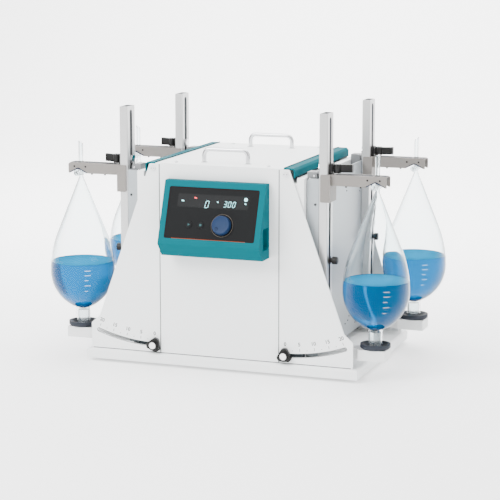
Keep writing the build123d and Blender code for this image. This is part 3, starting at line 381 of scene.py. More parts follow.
def lathe(name: str, profile: Sequence[tuple[float, float]], place: Matrix, steps: int) -> bpy.types.Mesh:
    """Turns a profile about the local Z axis.

    Args:
        name: the mesh's name.
        profile: radius and height pairs in millimetres, from one end to the other.
        place: where the local frame stands.
        steps: faces round the axis.

    Returns:
        The turned mesh.
    """
    work = bmesh.new()
    rings = []
    for radius, height in profile:
        if radius < 1e-6:
            rings.append([work.verts.new((0, 0, height * MM))])
            continue
        turn = [2 * math.pi * i / steps for i in range(steps)]
        rings.append([work.verts.new((radius * MM * math.cos(a), radius * MM * math.sin(a), height * MM))
                      for a in turn])
    for low, high in zip(rings, rings[1:]):
        for i in range(steps):
            j = (i + 1) % steps
            corners = [low[i % len(low)], low[j % len(low)], high[j % len(high)], high[i % len(high)]]
            unique = list(dict.fromkeys(corners))
            if len(unique) > 2:
                work.faces.new(unique)
    return mesh_from(name, work, place)


def raise_face(work: bmesh.types.BMesh, outline: Sequence[tuple[float, float]], depth: float) -> None:
    """Raises one outline along Z.

    Args:
        work: the bmesh that gets the solid.
        outline: corners in millimetres in the XY plane.
        depth: height in millimetres.
    """
    base = work.faces.new([work.verts.new((x * MM, y * MM, 0)) for x, y in outline])
    grown = bmesh.ops.extrude_face_region(work, geom=[base])["geom"]
    top = [g for g in grown if isinstance(g, bmesh.types.BMVert)]
    bmesh.ops.translate(work, vec=(0, 0, depth * MM), verts=top)


def prism(name: str, outline: Sequence[tuple[float, float]], depth: float, place: Matrix,
          bevel: float = 0.0) -> bpy.types.Mesh:
    """Raises an outline along the local Z axis, as a mesh.

    Args:
        name: the mesh's name.
        outline: corners in millimetres in the local XY plane.
        depth: height in millimetres.
        place: where the local frame stands.
        bevel: rounding of all edges in millimetres.

    Returns:
        The raised mesh.
    """
    work = bmesh.new()
    raise_face(work, outline, depth)
    if bevel:
        bmesh.ops.bevel(work, geom=work.edges[:], offset=bevel * MM, segments=3, affect="EDGES", profile=0.5)
    return mesh_from(name, work, place)


def block(x0: float, y0: float, x1: float, y1: float) -> list[tuple[float, float]]:
    """Corners of a rectangle between two opposite ones, in millimetres."""
    return [(x0, y0), (x1, y0), (x1, y1), (x0, y1)]


def rounded(width: float, height: float, radius: float, steps: int = 6) -> list[tuple[float, float]]:
    """Corners of a rectangle with rounded corners, centred on the origin.

    Args:
        width: size along X in millimetres.
        height: size along Y in millimetres.
        radius: radius of its corners in millimetres.
        steps: parts of each corner.

    Returns:
        The corners in millimetres.
    """
    points = []
    for k, (sx, sy) in enumerate(((1, 1), (-1, 1), (-1, -1), (1, -1))):
        for i in range(steps + 1):
            a = math.pi / 2 * (k + i / steps)
            points.append((sx * (width / 2 - radius) + radius * math.cos(a),
                           sy * (height / 2 - radius) + radius * math.sin(a)))
    return points


def axes(origin: Vector, x_dir: Sequence[float], z_dir: Sequence[float]) -> Matrix:
    """Matrix of a local frame.

    Args:
        origin: its origin in metres.
        x_dir: direction of its X axis.
        z_dir: direction of its Z axis.

    Returns:
        The matrix.
    """
    z = Vector(z_dir).normalized()
    x = Vector(x_dir).normalized()
    y = z.cross(x)
    return Matrix.Translation(origin) @ Matrix((x, y, z)).transposed().to_4x4()


def lettering(name: str, words: str, height: float, place: Matrix, relief: float) -> bpy.types.Mesh:
    """Plain numerals as a mesh.

    Args:
        name: the mesh's name.
        words: the digits.
        height: their height in millimetres.
        place: frame whose XY plane holds them, centred.
        relief: thickness in millimetres.

    Returns:
        The numerals' mesh.
    """
    curve = bpy.data.curves.new(name, "FONT")
    curve.body = words
    curve.align_x = "CENTER"
    curve.align_y = "CENTER"
    curve.size = height * MM / DIGIT_SHARE
    curve.extrude = relief * MM
    curve.offset = DIGIT_BOLD * height * MM
    carrier = bpy.data.objects.new(name + "_curve", curve)
    bpy.context.scene.collection.objects.link(carrier)
    bpy.context.view_layer.update()
    mesh = bpy.data.meshes.new_from_object(carrier.evaluated_get(bpy.context.evaluated_depsgraph_get()))
    bpy.data.objects.remove(carrier)
    mesh.transform(place)
    mesh.name = name
    mesh.materials.clear()
    return mesh


def dress(node: str, finish: Finish, edge: float = 0.0) -> None:
    """Gives a CAD node its finish and, where asked, softened edges.

    Args:
        node: the CAD node's name.
        finish: its surface.
        edge: edge rounding in millimetres.
    """
    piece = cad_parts[node]
    piece.data.materials.clear()
    piece.data.materials.append(finish.build())
    if edge:
        weld = piece.modifiers.new("weld", "WELD")
        weld.merge_threshold = WELD_MM * MM
        soft = piece.modifiers.new("soft_edges", "BEVEL")
        soft.width = edge * MM
        soft.segments = 2
        soft.limit_method = "ANGLE"
        soft.angle_limit = math.radians(SOFT_ANGLE)
        soft.harden_normals = True
    log.info("dressed %s in %s", node, finish.name)


def dress_faces(node: str, finish: Finish, chosen: Callable[[bpy.types.MeshPolygon], bool]) -> None:
    """Gives some faces of a CAD node a finish of their own.

    Args:
        node: the CAD node's name.
        finish: the surface of these faces.
        chosen: says whether a face is one of them.
    """
    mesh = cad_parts[node].data
    mesh.materials.append(finish.build())
    for face in mesh.polygons:
        if chosen(face):
            face.material_index = len(mesh.materials) - 1


@dataclass(frozen=True)
class Datum:
    """Places that all sub-assemblies share, read from the CAD nodes.

    Attributes:
        front: outer face of the front sheet, on Y, in metres.
        deck: top of the base plate, on Z, in metres.
        funnel_x: distance of the funnels' axes from the middle plane, in metres.
        rows: Y of the front and the rear funnels, in metres.
        pivot: X and Z of the tilt pivot in millimetres from the middle plane and the deck.
        slot_radius: radius of the tilt slot's middle line in millimetres.
    """

    front: float
    deck: float
    funnel_x: float
    rows: dict[str, float]
    pivot: tuple[float, float] = (162.5, 439.5)
    slot_radius: float = 420.0

    @classmethod
    def read(cls) -> "Datum":
        """Reads the places from the CAD.

        Returns:
            The shared places.
        """
        rows = {s: sum(c[1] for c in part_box(f"clamp_arm_{s}_right")) / 2 for s in STATIONS}
        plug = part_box("stopcock_plug_front_right")
        return cls(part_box("wing_plates")[0][1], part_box("base_plate")[1][2], (plug[0][0] + plug[1][0]) / 2,
                   rows)

    def at(self, x: float, y: float, z: float) -> Vector:
        """Point given in millimetres from the middle plane, the front sheet and the deck."""
        return Vector((x * MM, self.front + y * MM, self.deck + z * MM))

    def behind(self, y: float) -> float:
        """Millimetres behind the front sheet of a place on Y given in metres."""
        return (y - self.front) / MM

    def above(self, z: float) -> float:
        """Millimetres above the deck of a place on Z given in metres."""
        return (z - self.deck) / MM


@dataclass
class SidePart:
    """A sub-assembly that stands on one side of the machine.

    Attributes:
        datum: shared places.
        side: right or left.
    """

    datum: Datum
    side: str

    @property
    def sign(self) -> int:
        """1 on the right, -1 on the left."""
        return SIDES[self.side]


@dataclass
class Wing(SidePart):
    """One wing of the front sheet: tilt scale, and painted shade in the slot, along the joint lines and on
    the rail's edges. Sizes in millimetres.

    Attributes:
        span: range of the tilt scale in degrees.
        step: degrees between two numerals.
        ink: thickness of a printed mark.
        tick: width and height of a tick.
        tick_in: distance from the slot's middle line to the ticks, towards the pivot.
        dot: radius of the dots between the ticks.
        dot_in: distance from the slot's middle line to the dots.
        digit: height of the numerals.
        digit_in: distance from the slot's middle line to the numerals.
        slot_half: half the slot's width.
        lip: width and height of the slot's rolled edge.
        slide_from: angle in degrees at which the slide block starts beside the stud.
        slide: half the width, depth behind the sheet and thickness of the slide block.
        flap: width, height, thickness and depth of the flap on the slide block's outer end.
        seam_x: distance of the upright joint from the middle plane.
        seam: width and thickness of the upright joint's line.
        seam_foot: height at which it starts.
        sheet: reach of the sheet from the middle plane, and its height.
        deck_seam: height of the line along the deck.
        bolt_head: thickness of the pivot bolt's head.
        spanner: distance from the bolt's middle, radius and depth of the spanner holes.
        rail: width of the rail from its outer face to its inner edge.
        hem: lowest and highest edge above the skirt's foot, and thickness, of the rail's hem.
        rail_lip: height and width of the lip on the rail's inner edge.
    """

    span: int = 20
    step: int = 5
    ink: float = 0.08
    tick: tuple[float, float] = (1.1, 6.7)
    tick_in: float = 9.65
    dot: float = 0.9
    dot_in: float = 11.5
    digit: float = 8.4
    digit_in: float = 26.0
    slot_half: float = 4.0
    # lip: width and height of the slot's rolled edge, in painted shade.
    lip: tuple[float, float] = (0.8, 0.35)
    # slide_from: angle in degrees at which the sheet of painted shade behind the slot starts beside the stud.
    slide_from: float = 0.6
    # slide: half the width, depth behind the front sheet and thickness of the sheet of painted shade.
    slide: tuple[float, float, float] = (5.5, 4.75, 0.2)
    # flap: width, height, thickness and depth of the flap of painted shade on that sheet's outer end.
    flap: tuple[float, float, float, float] = (10.4, 12.0, 0.2, 10.0)
    seam_x: float = 147.0
    # seam: width and thickness of the upright joint's line of painted shade.
    seam: tuple[float, float] = (2.2, 0.12)
    seam_foot: float = 0.5
    # deck_seam: height of the line of painted shade along the deck.
    sheet: tuple[float, float] = (321.0, 449.0)
    deck_seam: float = 1.8
    bolt_head: float = 3.0
    spanner: tuple[float, float, float] = (3.25, 1.25, 1.4)
    rail: float = 26.6
    hem: tuple[float, float, float] = (0.4, 3.4, 0.15)
    rail_lip: tuple[float, float] = (1.6, 1.0)

    def build(self) -> None:
        """Adds the scale, the slot's edge and the sheet behind it in painted shade, the joint lines and the
        trim.
        """
        self._scale()
        self._slot_rim()
        self._slide_block()
        self._seams()
        self._bolt_holes()
        self._rail_edges()

    def _on_arc(self, degree: float, off: float, y: float = 0.0, along: float = 0.0) -> Vector:
        """Point beside the tilt slot's middle line.

        Args:
            degree: angle from the slot's inner end.
            off: millimetres nearer to the pivot.
            y: millimetres behind the front sheet.
            along: millimetres further along the slot.

        Returns:
            The point in metres.
        """
        a = math.radians(degree)
        (x, z), r = self.datum.pivot, self.datum.slot_radius - off
        return self.datum.at(self.sign * (x + r * math.sin(a) + along * math.cos(a)), y,
                             z - r * math.cos(a) + along * math.sin(a))

    def _on_scale(self, degree: float, inward: float) -> Matrix:
        """Frame on the wing's face, upright at a scale angle.

        Args:
            degree: the scale angle.
            inward: millimetres from the slot's middle line towards the pivot.

        Returns:
            The frame's matrix, Z off the face.
        """
        lean = self.sign * math.radians(degree)
        return axes(self._on_arc(degree, inward), (math.cos(lean), 0, math.sin(lean)), (0, -1, 0))

    def _scale(self) -> None:
        """Prints the ticks with their numerals, and the dots between them."""
        wide, high = self.tick
        bar = block(-wide / 2, 0, wide / 2, high)
        for degree in range(0, self.span + self.step, self.step):
            place_piece(prism(f"scale_tick_{degree}_{self.side}", bar, self.ink,
                              self._on_scale(degree, self.tick_in)), SCALE_INK)
            place_piece(lettering(f"scale_number_{degree}_{self.side}", str(degree), self.digit,
                                  self._on_scale(degree, self.digit_in), self.ink / 2), SCALE_INK)
        spot = [(0, 0), (self.dot, 0), (self.dot, self.ink), (0, self.ink)]
        for start in range(0, self.span, self.step):
            degree = start + self.step / 2
            place_piece(lathe(f"scale_dot_{int(degree * 10)}_{self.side}", spot,
                              self._on_scale(degree, self.dot_in), 16), SCALE_INK)

    def _slot_rim(self) -> None:
        """Lays the rolled edge round the tilt slot, coloured as painted shade."""
        half, steps, turns = self.slot_half, 40, 12
        cap = [(half * math.cos(math.pi * i / turns), half * math.sin(math.pi * i / turns))
               for i in range(1, turns)]
        loop = [(self.span * i / steps, half, 0.0) for i in range(steps + 1)]
        loop += [(self.span, off, along) for off, along in cap]
        loop += [(self.span * (1 - i / steps), -half, 0.0) for i in range(steps + 1)]
        loop += [(0, -off, -along) for off, along in cap]
        wide, high = self.lip
        work = bmesh.new()
        rows = []
        for grow, lift in ((0.0, 0.0), (0.0, high), (wide, high), (wide, 0.0)):
            size = (half + grow) / half
            rows.append([work.verts.new(self._on_arc(degree, off * size, -lift, along * size))
                         for degree, off, along in loop])
        skin(work, rows)
        place_piece(mesh_from(f"tilt_slot_rim_{self.side}", work), SLOT_SHADE)

    def _slide_block(self) -> None:
        """Paints shade behind the slot: a thin dark sheet on the frame, with a flap over the frame's side at
        its outer end.
        """
        low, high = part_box(f"tilt_frame_{self.side}")
        reach = max(abs(low[0]), abs(high[0])) / MM - self.datum.pivot[0]
        last = math.degrees(math.asin(reach / self.datum.slot_radius))
        half, y, thick = self.slide
        corners = ((-half, y), (half, y), (half, y + thick), (-half, y + thick))
        steps = 12
        work = bmesh.new()
        rows = []
        for i in range(steps + 1):
            degree = self.slide_from + (last - self.slide_from) * i / steps
            rows.append([work.verts.new(self._on_arc(degree, off, deep)) for off, deep in corners])
        skin(work, rows, ends=True)
        rack = f"tilt_rack_{self.side}"
        place_piece(mesh_from(f"shade_sheet_block_{self.side}", work), SLOT_SHADE, rack)
        wide, high, thick, y = self.flap
        level = self.datum.pivot[1] - self.datum.slot_radius * math.cos(math.radians(last))
        spot = self.datum.at(self.sign * (self.datum.pivot[0] + reach + HAIR), y, level)
        place_piece(prism(f"shade_sheet_flap_{self.side}", rounded(wide, high, 0.5, 2), thick,
                          axes(spot, (0, 1, 0), (self.sign, 0, 0))), SLOT_SHADE, rack)

    def _seams(self) -> None:
        """Runs the grey joint lines of painted shade beside the front sheet and along the deck."""
        (wide, thick), (reach, high) = self.seam, self.sheet
        place = axes(self.datum.at(self.sign * self.seam_x, 0, self.seam_foot), (1, 0, 0), (0, -1, 0))
        place_piece(prism(f"wing_seam_{self.side}", block(-wide / 2, 0, wide / 2, high), thick, place), JOINT_SHADE)
        place = axes(self.datum.at(0 if self.sign > 0 else -reach, 0, HAIR), (1, 0, 0), (0, -1, 0))
        place_piece(prism(f"deck_seam_{self.side}", block(0, 0, reach, self.deck_seam), thick, place), JOINT_SHADE)

    def _bolt_holes(self) -> None:
        """Fills the two spanner holes of the front pivot bolt with shadow."""
        x, z = self.datum.pivot
        off, radius, depth = self.spanner
        hole = [(0, -depth), (radius, -depth), (radius, -HAIR), (0, -HAIR)]
        for i, way in enumerate((-off, off)):
            place = axes(self.datum.at(self.sign * x + way, -self.bolt_head, z), (1, 0, 0), (0, -1, 0))
            place_piece(lathe(f"bolt_hole_{i}_{self.side}", hole, place, 16), SLOT_SHADE)

    def _rail_edges(self) -> None:
        """Adds the hem along the foot of the rail's skirt and the lip along its inner edge, both in painted
        shade.
        """
        low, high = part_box("top_rails")
        outer = high[0] / MM * self.sign
        length = (high[1] - low[1]) / MM - 2
        start = self.datum.behind(low[1]) + 1
        strips = (("hem", outer, self.datum.above(low[2]), *self.hem),
                  ("lip", outer - self.sign * self.rail, self.datum.above(high[2]) - HAIR, 0, *self.rail_lip))
        for part, x, z, foot, top, thick in strips:
            place = axes(self.datum.at(x, start if self.sign > 0 else start + length, z),
                         (0, self.sign, 0), (self.sign, 0, 0))
            place_piece(prism(f"rail_{part}_{self.side}", block(0, foot, length, top), thick, place),
                        TEAL_SHADE)


@dataclass
class Cabinet:
    """Base, body, cover, rails, wings and handles.

    Attributes:
        datum: shared places.
    """

    datum: Datum

    def dress(self) -> None:
        """Gives the CAD nodes of the cabinet their finishes."""
        for node in ("body_shell", "rear_panel", "top_cover", "wing_plates"):
            dress(node, WHITE, 0.5)
        dress("base_plate", WHITE)
        dress("top_rails", TEAL, 0.8)
        dress("carry_handles", BRIGHT)
        dress("cover_screws", BRIGHT)
        dress("pivot_bolts", ZINC, 0.4)
        dress("rubber_feet", RUBBER)
        dress("power_inlet", BLACK, 0.4)
        dress("drive_unit", STEEL)

    def build(self) -> None:
        """Builds the two wings."""
        for side in SIDES:
            Wing(self.datum, side).build()


@dataclass
class ControlPanel:
    """Slanted housing with its film, display, keys, dial and power switch. Sizes in millimetres.

    Attributes:
        datum: shared places.
        reach: how far the face's middle stands before the front sheet.
        middle_z: height of the face's middle above the deck.
        lean: the face's lean in radians.
        film: width, height and corner radius of the gasket's outer edge.
        gasket: width of the gasket.
        light_bar: length, height and corner radius of the light bar.
        light_at: its place on the face, and its height above it.
        window: width, height and corner radius of the display window.
        window_v: its height on the face.
        print_z: height of lit signs above the face.
        segment: width of a digit's segment.
        italic: sideways lean of the digits, as a share of their height.
        dial_at: dial's place on the face.
        dimple: distance of the dial's dimple from its middle, and its angle in degrees.
        keys: places of the two keys on the face.
        key_v: their height on the face.
        key_top: height of a key's top above the face.
        lamp: length, height and thickness of a switch lamp.
    """

    datum: Datum
    reach: float = 46.0
    middle_z: float = 346.5
    lean: float = math.atan2(52, 141)
    film: tuple[float, float, float] = (219.4, 121.4, 4.2)
    gasket: float = 2.0
    light_bar: tuple[float, float, float] = (180.0, 1.3, 0.6)
    light_at: tuple[float, float, float] = (-1.0, -60.0, 0.12)
    window: tuple[float, float, float] = (172.0, 31.0, 2.0)
    window_v: float = 29.5
    print_z: float = 0.14
    segment: float = 1.0
    italic: float = 0.16
    dial_at: tuple[float, float] = (28.8, -25.3)
    dimple: tuple[float, float] = (12.8, 227.0)
    keys: tuple[float, float] = (-51.9, -23.2)
    key_v: float = -26.8
    key_top: float = 1.5
    lamp: tuple[float, float, float] = (7.0, 3.0, 0.6)

    def face(self, u: float, v: float, lift: float = 0.0) -> Matrix:
        """Frame on the slanted face.

        Args:
            u: millimetres to the right of the middle.
            v: millimetres up the face.
            lift: millimetres off the face.

        Returns:
            The frame's matrix, Z off the face.
        """
        out = Vector((0, -math.cos(self.lean), math.sin(self.lean)))
        up = Vector((0, math.sin(self.lean), math.cos(self.lean)))
        spot = self.datum.at(u, -self.reach, self.middle_z) + up * v * MM + out * lift * MM
        return axes(spot, (1, 0, 0), out)

    def dress(self) -> None:
        """Gives the CAD nodes of the panel their finishes."""
        dress("control_housing", TEAL, 0.8)
        dress("control_fascia", FILM)
        dress("start_key", KEY_GREY)
        dress("stop_key", KEY_GREY)
        dress("power_switch", BLACK, 0.5)

    def build(self) -> None:
        """Adds the gasket line, light bar, display, key marks, dial and switch lamps."""
        self._gasket()
        self._display()
        self._key_marks()
        self._dial()
        self._switch_lamps()

    def _gasket(self) -> None:
        """Lays the thin dark red line round the film and the light bar below it."""
        width, height, corner = self.film
        outer = rounded(width, height, corner)
        inner = rounded(width - 2 * self.gasket, height - 2 * self.gasket, 2.6)
        work = bmesh.new()
        rows = [[work.verts.new((x * MM, y * MM, z * MM)) for x, y in ring]
                for ring, z in ((outer, -0.2), (outer, 0.15), (inner, 0.15), (inner, -0.2))]
        skin(work, rows)
        place_piece(mesh_from("fascia_gasket", work, self.face(0, 0)), GASKET)
        place_piece(prism("light_bar", rounded(*self.light_bar), 0.15, self.face(*self.light_at)), AMBER)

    def _digit(self, name: str, lit: str, u: float, v: float, size: tuple[float, float]) -> None:
        """Adds one seven-segment digit.

        Args:
            name: name of the digit's piece.
            lit: letters a to g of its lit segments.
            u: middle of the digit on the face.
            v: middle of the digit on the face.
            size: width and height between the segments' middles.
        """
        right, top = size[0] / 2, size[1] / 2
        spans = {
            "a": ((-right, top), (right, top)), "b": ((right, top), (right, 0)),
            "c": ((right, 0), (right, -top)), "d": ((-right, -top), (right, -top)),
            "e": ((-right, 0), (-right, -top)), "f": ((-right, top), (-right, 0)),
            "g": ((-right, 0), (right, 0)),
        }
        half, gap = self.segment / 2, self.segment * 0.35
        work = bmesh.new()
        for letter in lit:
            (x0, y0), (x1, y1) = spans[letter]
            length = math.hypot(x1 - x0, y1 - y0)
            dx, dy = (x1 - x0) / length, (y1 - y0) / length
            end = length - gap
            shape = [(gap, 0), (gap + half, half), (end - half, half), (end, 0), (end - half, -half),
                     (gap + half, -half)]
            points = [(x0 + dx * s - dy * t, y0 + dy * s + dx * t) for s, t in shape]
            raise_face(work, [(x + self.italic * y, y) for x, y in points], 0.1)
        place_piece(mesh_from(name, work, self.face(u, v, self.print_z)), LIT_CYAN)

    def _display(self) -> None:
        """Adds the smoked window, the numerals and the small signs."""
        place_piece(prism("display_window", rounded(*self.window), 0.1, self.face(0, self.window_v)), WINDOW)
        self._digit("time_digit", "abcdef", -13.6, 22.3, (7.6, 15.6))
        for i, lit in enumerate(("abcdg", "abcdef", "abcdef")):
            self._digit(f"speed_digit_{i}", lit, 30.8 + 10.4 * i, 24.5, (5.6, 12.8))
        dash = [(-2.6, -1.5), (3.4, -1.7), (2.6, 0.7), (-3.4, 1.7)]
        disc = [(4.2 * math.cos(math.pi * i / 12), 4.2 * math.sin(math.pi * i / 12)) for i in range(24)]
        for name, outline, u, v, finish in (
                ("run", dash, -73.4, 28.5, LIT_CYAN), ("alarm", dash, -42.7, 36.3, LIT_RED),
                ("speed", [(x * 0.55, y) for x, y in dash], 12, 29.0, LIT_CYAN),
                ("round", disc, 79, 37.6, LIT_CYAN),
                ("under", [(x * 0.6, y) for x, y in dash], 79.2, 27.8, LIT_CYAN)):
            place_piece(prism(f"sign_{name}", outline, 0.12, self.face(u, v, self.print_z)), finish)

    def _key_marks(self) -> None:
        """Prints the ring round each key and the sign on it."""
        ring = [(6.9, 0), (7.6, 0), (7.6, 0.1), (6.9, 0.1), (6.9, 0)]
        signs = {"start_key": [(-2.2, -3), (3.2, 0), (-2.2, 3)], "stop_key": block(-2.6, -2.6, 2.6, 2.6)}
        for (body, sign), u in zip(signs.items(), self.keys):
            place_piece(lathe(f"{body}_ring", ring, self.face(u, self.key_v), 48), KEY_INK)
            place_piece(prism(f"{body}_sign", sign, 0.1, self.face(u, self.key_v, self.key_top)), KEY_INK,
                        body)

    def _dial(self) -> None:
        """Builds the dial with a crowned rim, a shallow dished top and a finger dimple."""
        place = self.face(*self.dial_at)
        profile = [(0, 0.6), (21.9, 0.6), (22.35, 1.2), (21.4, 10.2), (20.9, 11.2), (20.0, 11.55),
                   (18.4, 11.5), (17.2, 11.2), (9, 10.9), (0, 10.8)]
        dial = place_piece(lathe("dial_cap", profile, place, 96), DIAL_BLUE, "dial")
        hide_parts("dial")
        off, angle = self.dimple[0] * MM, math.radians(self.dimple[1])
        spot = place @ Matrix.Translation((off * math.cos(angle), off * math.sin(angle), 0))
        dish = [(4.0, 11.0), (3.7, 11.32), (3.2, 11.2), (1.8, 11.02), (0, 10.98)]
        place_piece(lathe("dial_dimple", dish, spot, 32), DIMPLE, "dial")
        ring = [(25.2, 0), (26.7, 0), (26.6, 0.5), (26.0, 0.8), (25.4, 0.5), (25.2, 0)]
        place_piece(lathe("dial_bezel", ring, place, 96), BRONZE)

    def _switch_lamps(self) -> None:
        """Adds the two coloured marks on the power switch's rocker."""
        low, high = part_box("power_switch")
        wide, tall, thick = self.lamp
        for name, z, finish in (("switch_lamp", high[2] - 6 * MM, LAMP_GREEN),
                                ("switch_mark", low[2] + 5 * MM, LAMP_RED)):
            spot = Vector((high[0] - 0.9 * MM, high[1] - 4.5 * MM, z))
            mesh = prism(name, rounded(wide, tall, 1), thick, axes(spot, (0, 1, 0), (1, 0, 0)), 0.15)
            place_piece(mesh, finish, "power_switch")


@dataclass
class Holder(SidePart):
    """One funnel's place: clamp arm, lever, knob, stopcock and liquid. Sizes in millimetres.

    Attributes:
        station: front or rear.
        level: height of the liquid above the deck.
        neck: radius of the bulb's mouth and its height above the deck.
        belly_z: height of the bulb's widest ring above the deck.
        lower: centre's distance from the axis, and radius, of the arc of liquid below that ring.
        upper: the same for the arc above it.
        glass: from the liquid's skin to just outside the glass.
        ticks: height above the deck and length in degrees of each volume tick.
        ticks_from: angle in degrees at which the ticks start.
        clamp_rise: height of the clamp above the arm's top.
        channel: X at which the arm's channel starts, half its width, and half the hole's clear room.
        lever_pin: X and Z of the cam lever's pin.
        feet_x: places of the two pins under the arm.
        feet_at: their place beside the funnel's axis on Y, and the height of their seats.
        flanges: places of the arm's outer faces beside the funnel's axis on Y.
        barrel: height above the deck and radius of the stopcock's barrel, which the notch holds.
        notch: half the notch's width, and its lean in degrees.
        lining: width and thickness of the notch's rubber strips.
        pins: places beside the funnel's axis, and height, of the two pins above the notch.
    """

    station: str
    level: float = 201.0
    neck: tuple[float, float] = (12.9, 89.6)
    belly_z: float = 178.0
    lower: tuple[float, float] = (-19.9, 94.5)
    upper: tuple[float, float] = (-173.0, 247.6)
    glass: float = 2.45
    ticks: tuple[tuple[float, float], ...] = ((189, 11), (178, 11), (166, 7), (153, 11), (139, 7))
    ticks_from: float = -62.0
    clamp_rise: float = 24.0
    channel: tuple[float, float, float] = (270.0, 12.5, 10.0)
    lever_pin: tuple[float, float] = (272.0, 463.0)
    feet_x: tuple[float, float] = (297.0, 331.0)
    feet_at: tuple[float, float] = (-15.2, 415.2)
    flanges: tuple[float, float] = (-16.5, 16.7)
    barrel: tuple[float, float] = (416.5, 8.6)
    notch: tuple[float, float] = (22.0, 27.0)
    lining: tuple[float, float] = (2.6, 0.2)
    pins: tuple[float, float, float] = (-19.0, 10.0, 431.0)

    @property
    def arm(self) -> str:
        """Name of the clamp arm's node and body."""
        return f"clamp_arm_{self.station}_{self.side}"

    @property
    def tail(self) -> str:
        """End of the names of this holder's pieces."""
        return f"{self.station}_{self.side}"

    @property
    def y(self) -> float:
        """Millimetres from the front sheet to the funnel's axis."""
        return self.datum.behind(self.datum.rows[self.station])

    def dress(self) -> None:
        """Gives the holder's CAD nodes their finishes."""
        dress(self.arm, ARM, 0.4)
        dress(f"clamp_lever_{self.tail}", BLACK, 0.5)
        dress(f"post_knob_{self.tail}", BLACK, 0.0)
        dress(f"stopcock_plug_{self.tail}", GROUND, 0.3)
        self._dress_clamp()

    def _dress_clamp(self) -> None:
        """Gives the clamp's black ears and bright nut, above the arm, their own finishes."""
        arm_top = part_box(self.arm)[1][2] - (self.clamp_rise - 0.3) * MM
        edge = max(abs(corner[0]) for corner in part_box(f"posts_{self.side}"))
        dress_faces(self.arm, BLACK, lambda face: face.center.z > arm_top and abs(face.center.x) > edge)
        dress_faces(self.arm, BRIGHT, lambda face: face.center.z > arm_top and abs(face.center.x) <= edge)

    def build(self) -> None:
        """Adds the liquid, the volume ticks, the notch linings and the small fittings."""
        self._liquid()
        self._graduation()
        self._notch()
        self._arm_feet()
        self._arm_groove()
        self._lever_pin()

    def _radius(self, z: float, outwards: float = 0.0) -> float:
        """Radius of the liquid's skin at a height.

        Args:
            z: height above the deck in millimetres.
            outwards: millimetres outside the skin.

        Returns:
            The radius in millimetres.
        """
        centre, size = self.upper if z > self.belly_z else self.lower
        return centre + math.sqrt((size + outwards) ** 2 - (z - self.belly_z) ** 2)

    def _liquid(self) -> None:
        """Fills the funnel with dyed water."""
        radius, foot = self.neck
        heights = [foot + (self.belly_z - foot) * i / 24 for i in range(1, 25)]
        heights += [self.belly_z + (self.level + 1.2 - self.belly_z) * i / 6 for i in range(1, 7)]
        edge = self._radius(heights[-1])
        points = [(0, foot - 2.2), (radius - 0.2, foot - 2.2), (radius, foot - 1.8), (radius, foot)]
        points += [(self._radius(z), z) for z in heights]
        points += [(edge - 1.0, self.level + 0.5), (edge - 2.4, self.level), (0, self.level)]
        carriage = f"carriage_{self.side}"
        place = Matrix.Translation((self.sign * self.datum.funnel_x, self.datum.rows[self.station],
                                    self.datum.deck))
        place_piece(lathe(f"liquid_{self.tail}", points, place, 96), DYE, carriage, 40)
        disc = [(0, HAIR), (edge - 2.4, HAIR), (edge - 1.2, 0.5), (edge - 1.2, 0.6), (edge - 2.4, 0.15),
                (0, 0.15)]
        place = place @ Matrix.Translation((0, 0, self.level * MM))
        place_piece(lathe(f"liquid_top_{self.tail}", disc, place, 96), DYE_TOP, carriage, 40)

    def _graduation(self) -> None:
        """Fires the white volume ticks on the outside of the bulb."""
        work = bmesh.new()
        middle = Vector((self.sign * self.datum.funnel_x, self.datum.rows[self.station], self.datum.deck))
        steps = 6
        for z, spread in self.ticks:
            rows = []
            for i in range(steps + 1):
                a = math.radians(self.ticks_from + spread * i / steps)
                row = []
                for rise, out in ((-0.35, 0.02), (-0.35, 0.12), (0.35, 0.12), (0.35, 0.02)):
                    radius = self._radius(z + rise, self.glass) + out
                    spot = Vector((radius * math.cos(a), radius * math.sin(a), z + rise))
                    row.append(work.verts.new(middle + spot * MM))
                rows.append(row)
            skin(work, rows, ends=True)
        place_piece(mesh_from(f"graduation_{self.tail}", work), ENAMEL_WHITE, f"carriage_{self.side}")

    def _notch(self) -> None:
        """Adds the rubber strips round the notch and the two pins above it."""
        axis_x = self.datum.funnel_x / MM
        half, slope = self.notch[0], math.radians(self.notch[1])
        wide, thick = self.lining
        apex = self.barrel[0] + self.barrel[1] / math.cos(slope)
        under = [(x, apex - max(abs(x), 1.1) * math.tan(slope)) for x in (-half, -2.3, 0.0, 2.3, half)]
        outline = under + [(x, z + wide) for x, z in reversed(under)]
        for flange, off in zip(("near", "far"), self.flanges):
            place = axes(self.datum.at(self.sign * axis_x, self.y + off, 0), (1, 0, 0), (0, -1, 0))
            place_piece(prism(f"notch_lining_{flange}_{self.tail}", outline, thick, place), LINING, self.arm)
        pin = [(0, -1), (2.3, -1), (2.3, 0.4), (1.7, 0.8), (0, 0.8)]
        for i, off in enumerate(self.pins[:2]):
            spot = self.datum.at(self.sign * (axis_x + off), self.y + self.flanges[0], self.pins[2])
            place_piece(lathe(f"arm_pin_{i}_{self.tail}", pin, axes(spot, (1, 0, 0), (0, -1, 0)), 24), BLACK,
                        self.arm)

    def _arm_feet(self) -> None:
        """Adds the two black pins that stand out under the arm."""
        pin = [(0, 0), (2.2, 0), (2.2, 2.2), (1.6, 2.8), (0, 2.8)]
        for i, x in enumerate(self.feet_x):
            spot = self.datum.at(self.sign * x, self.y + self.feet_at[0], self.feet_at[1])
            place_piece(lathe(f"arm_foot_{i}_{self.tail}", pin, axes(spot, (1, 0, 0), (0, 0, -1)), 24), BLACK,
                        self.arm)

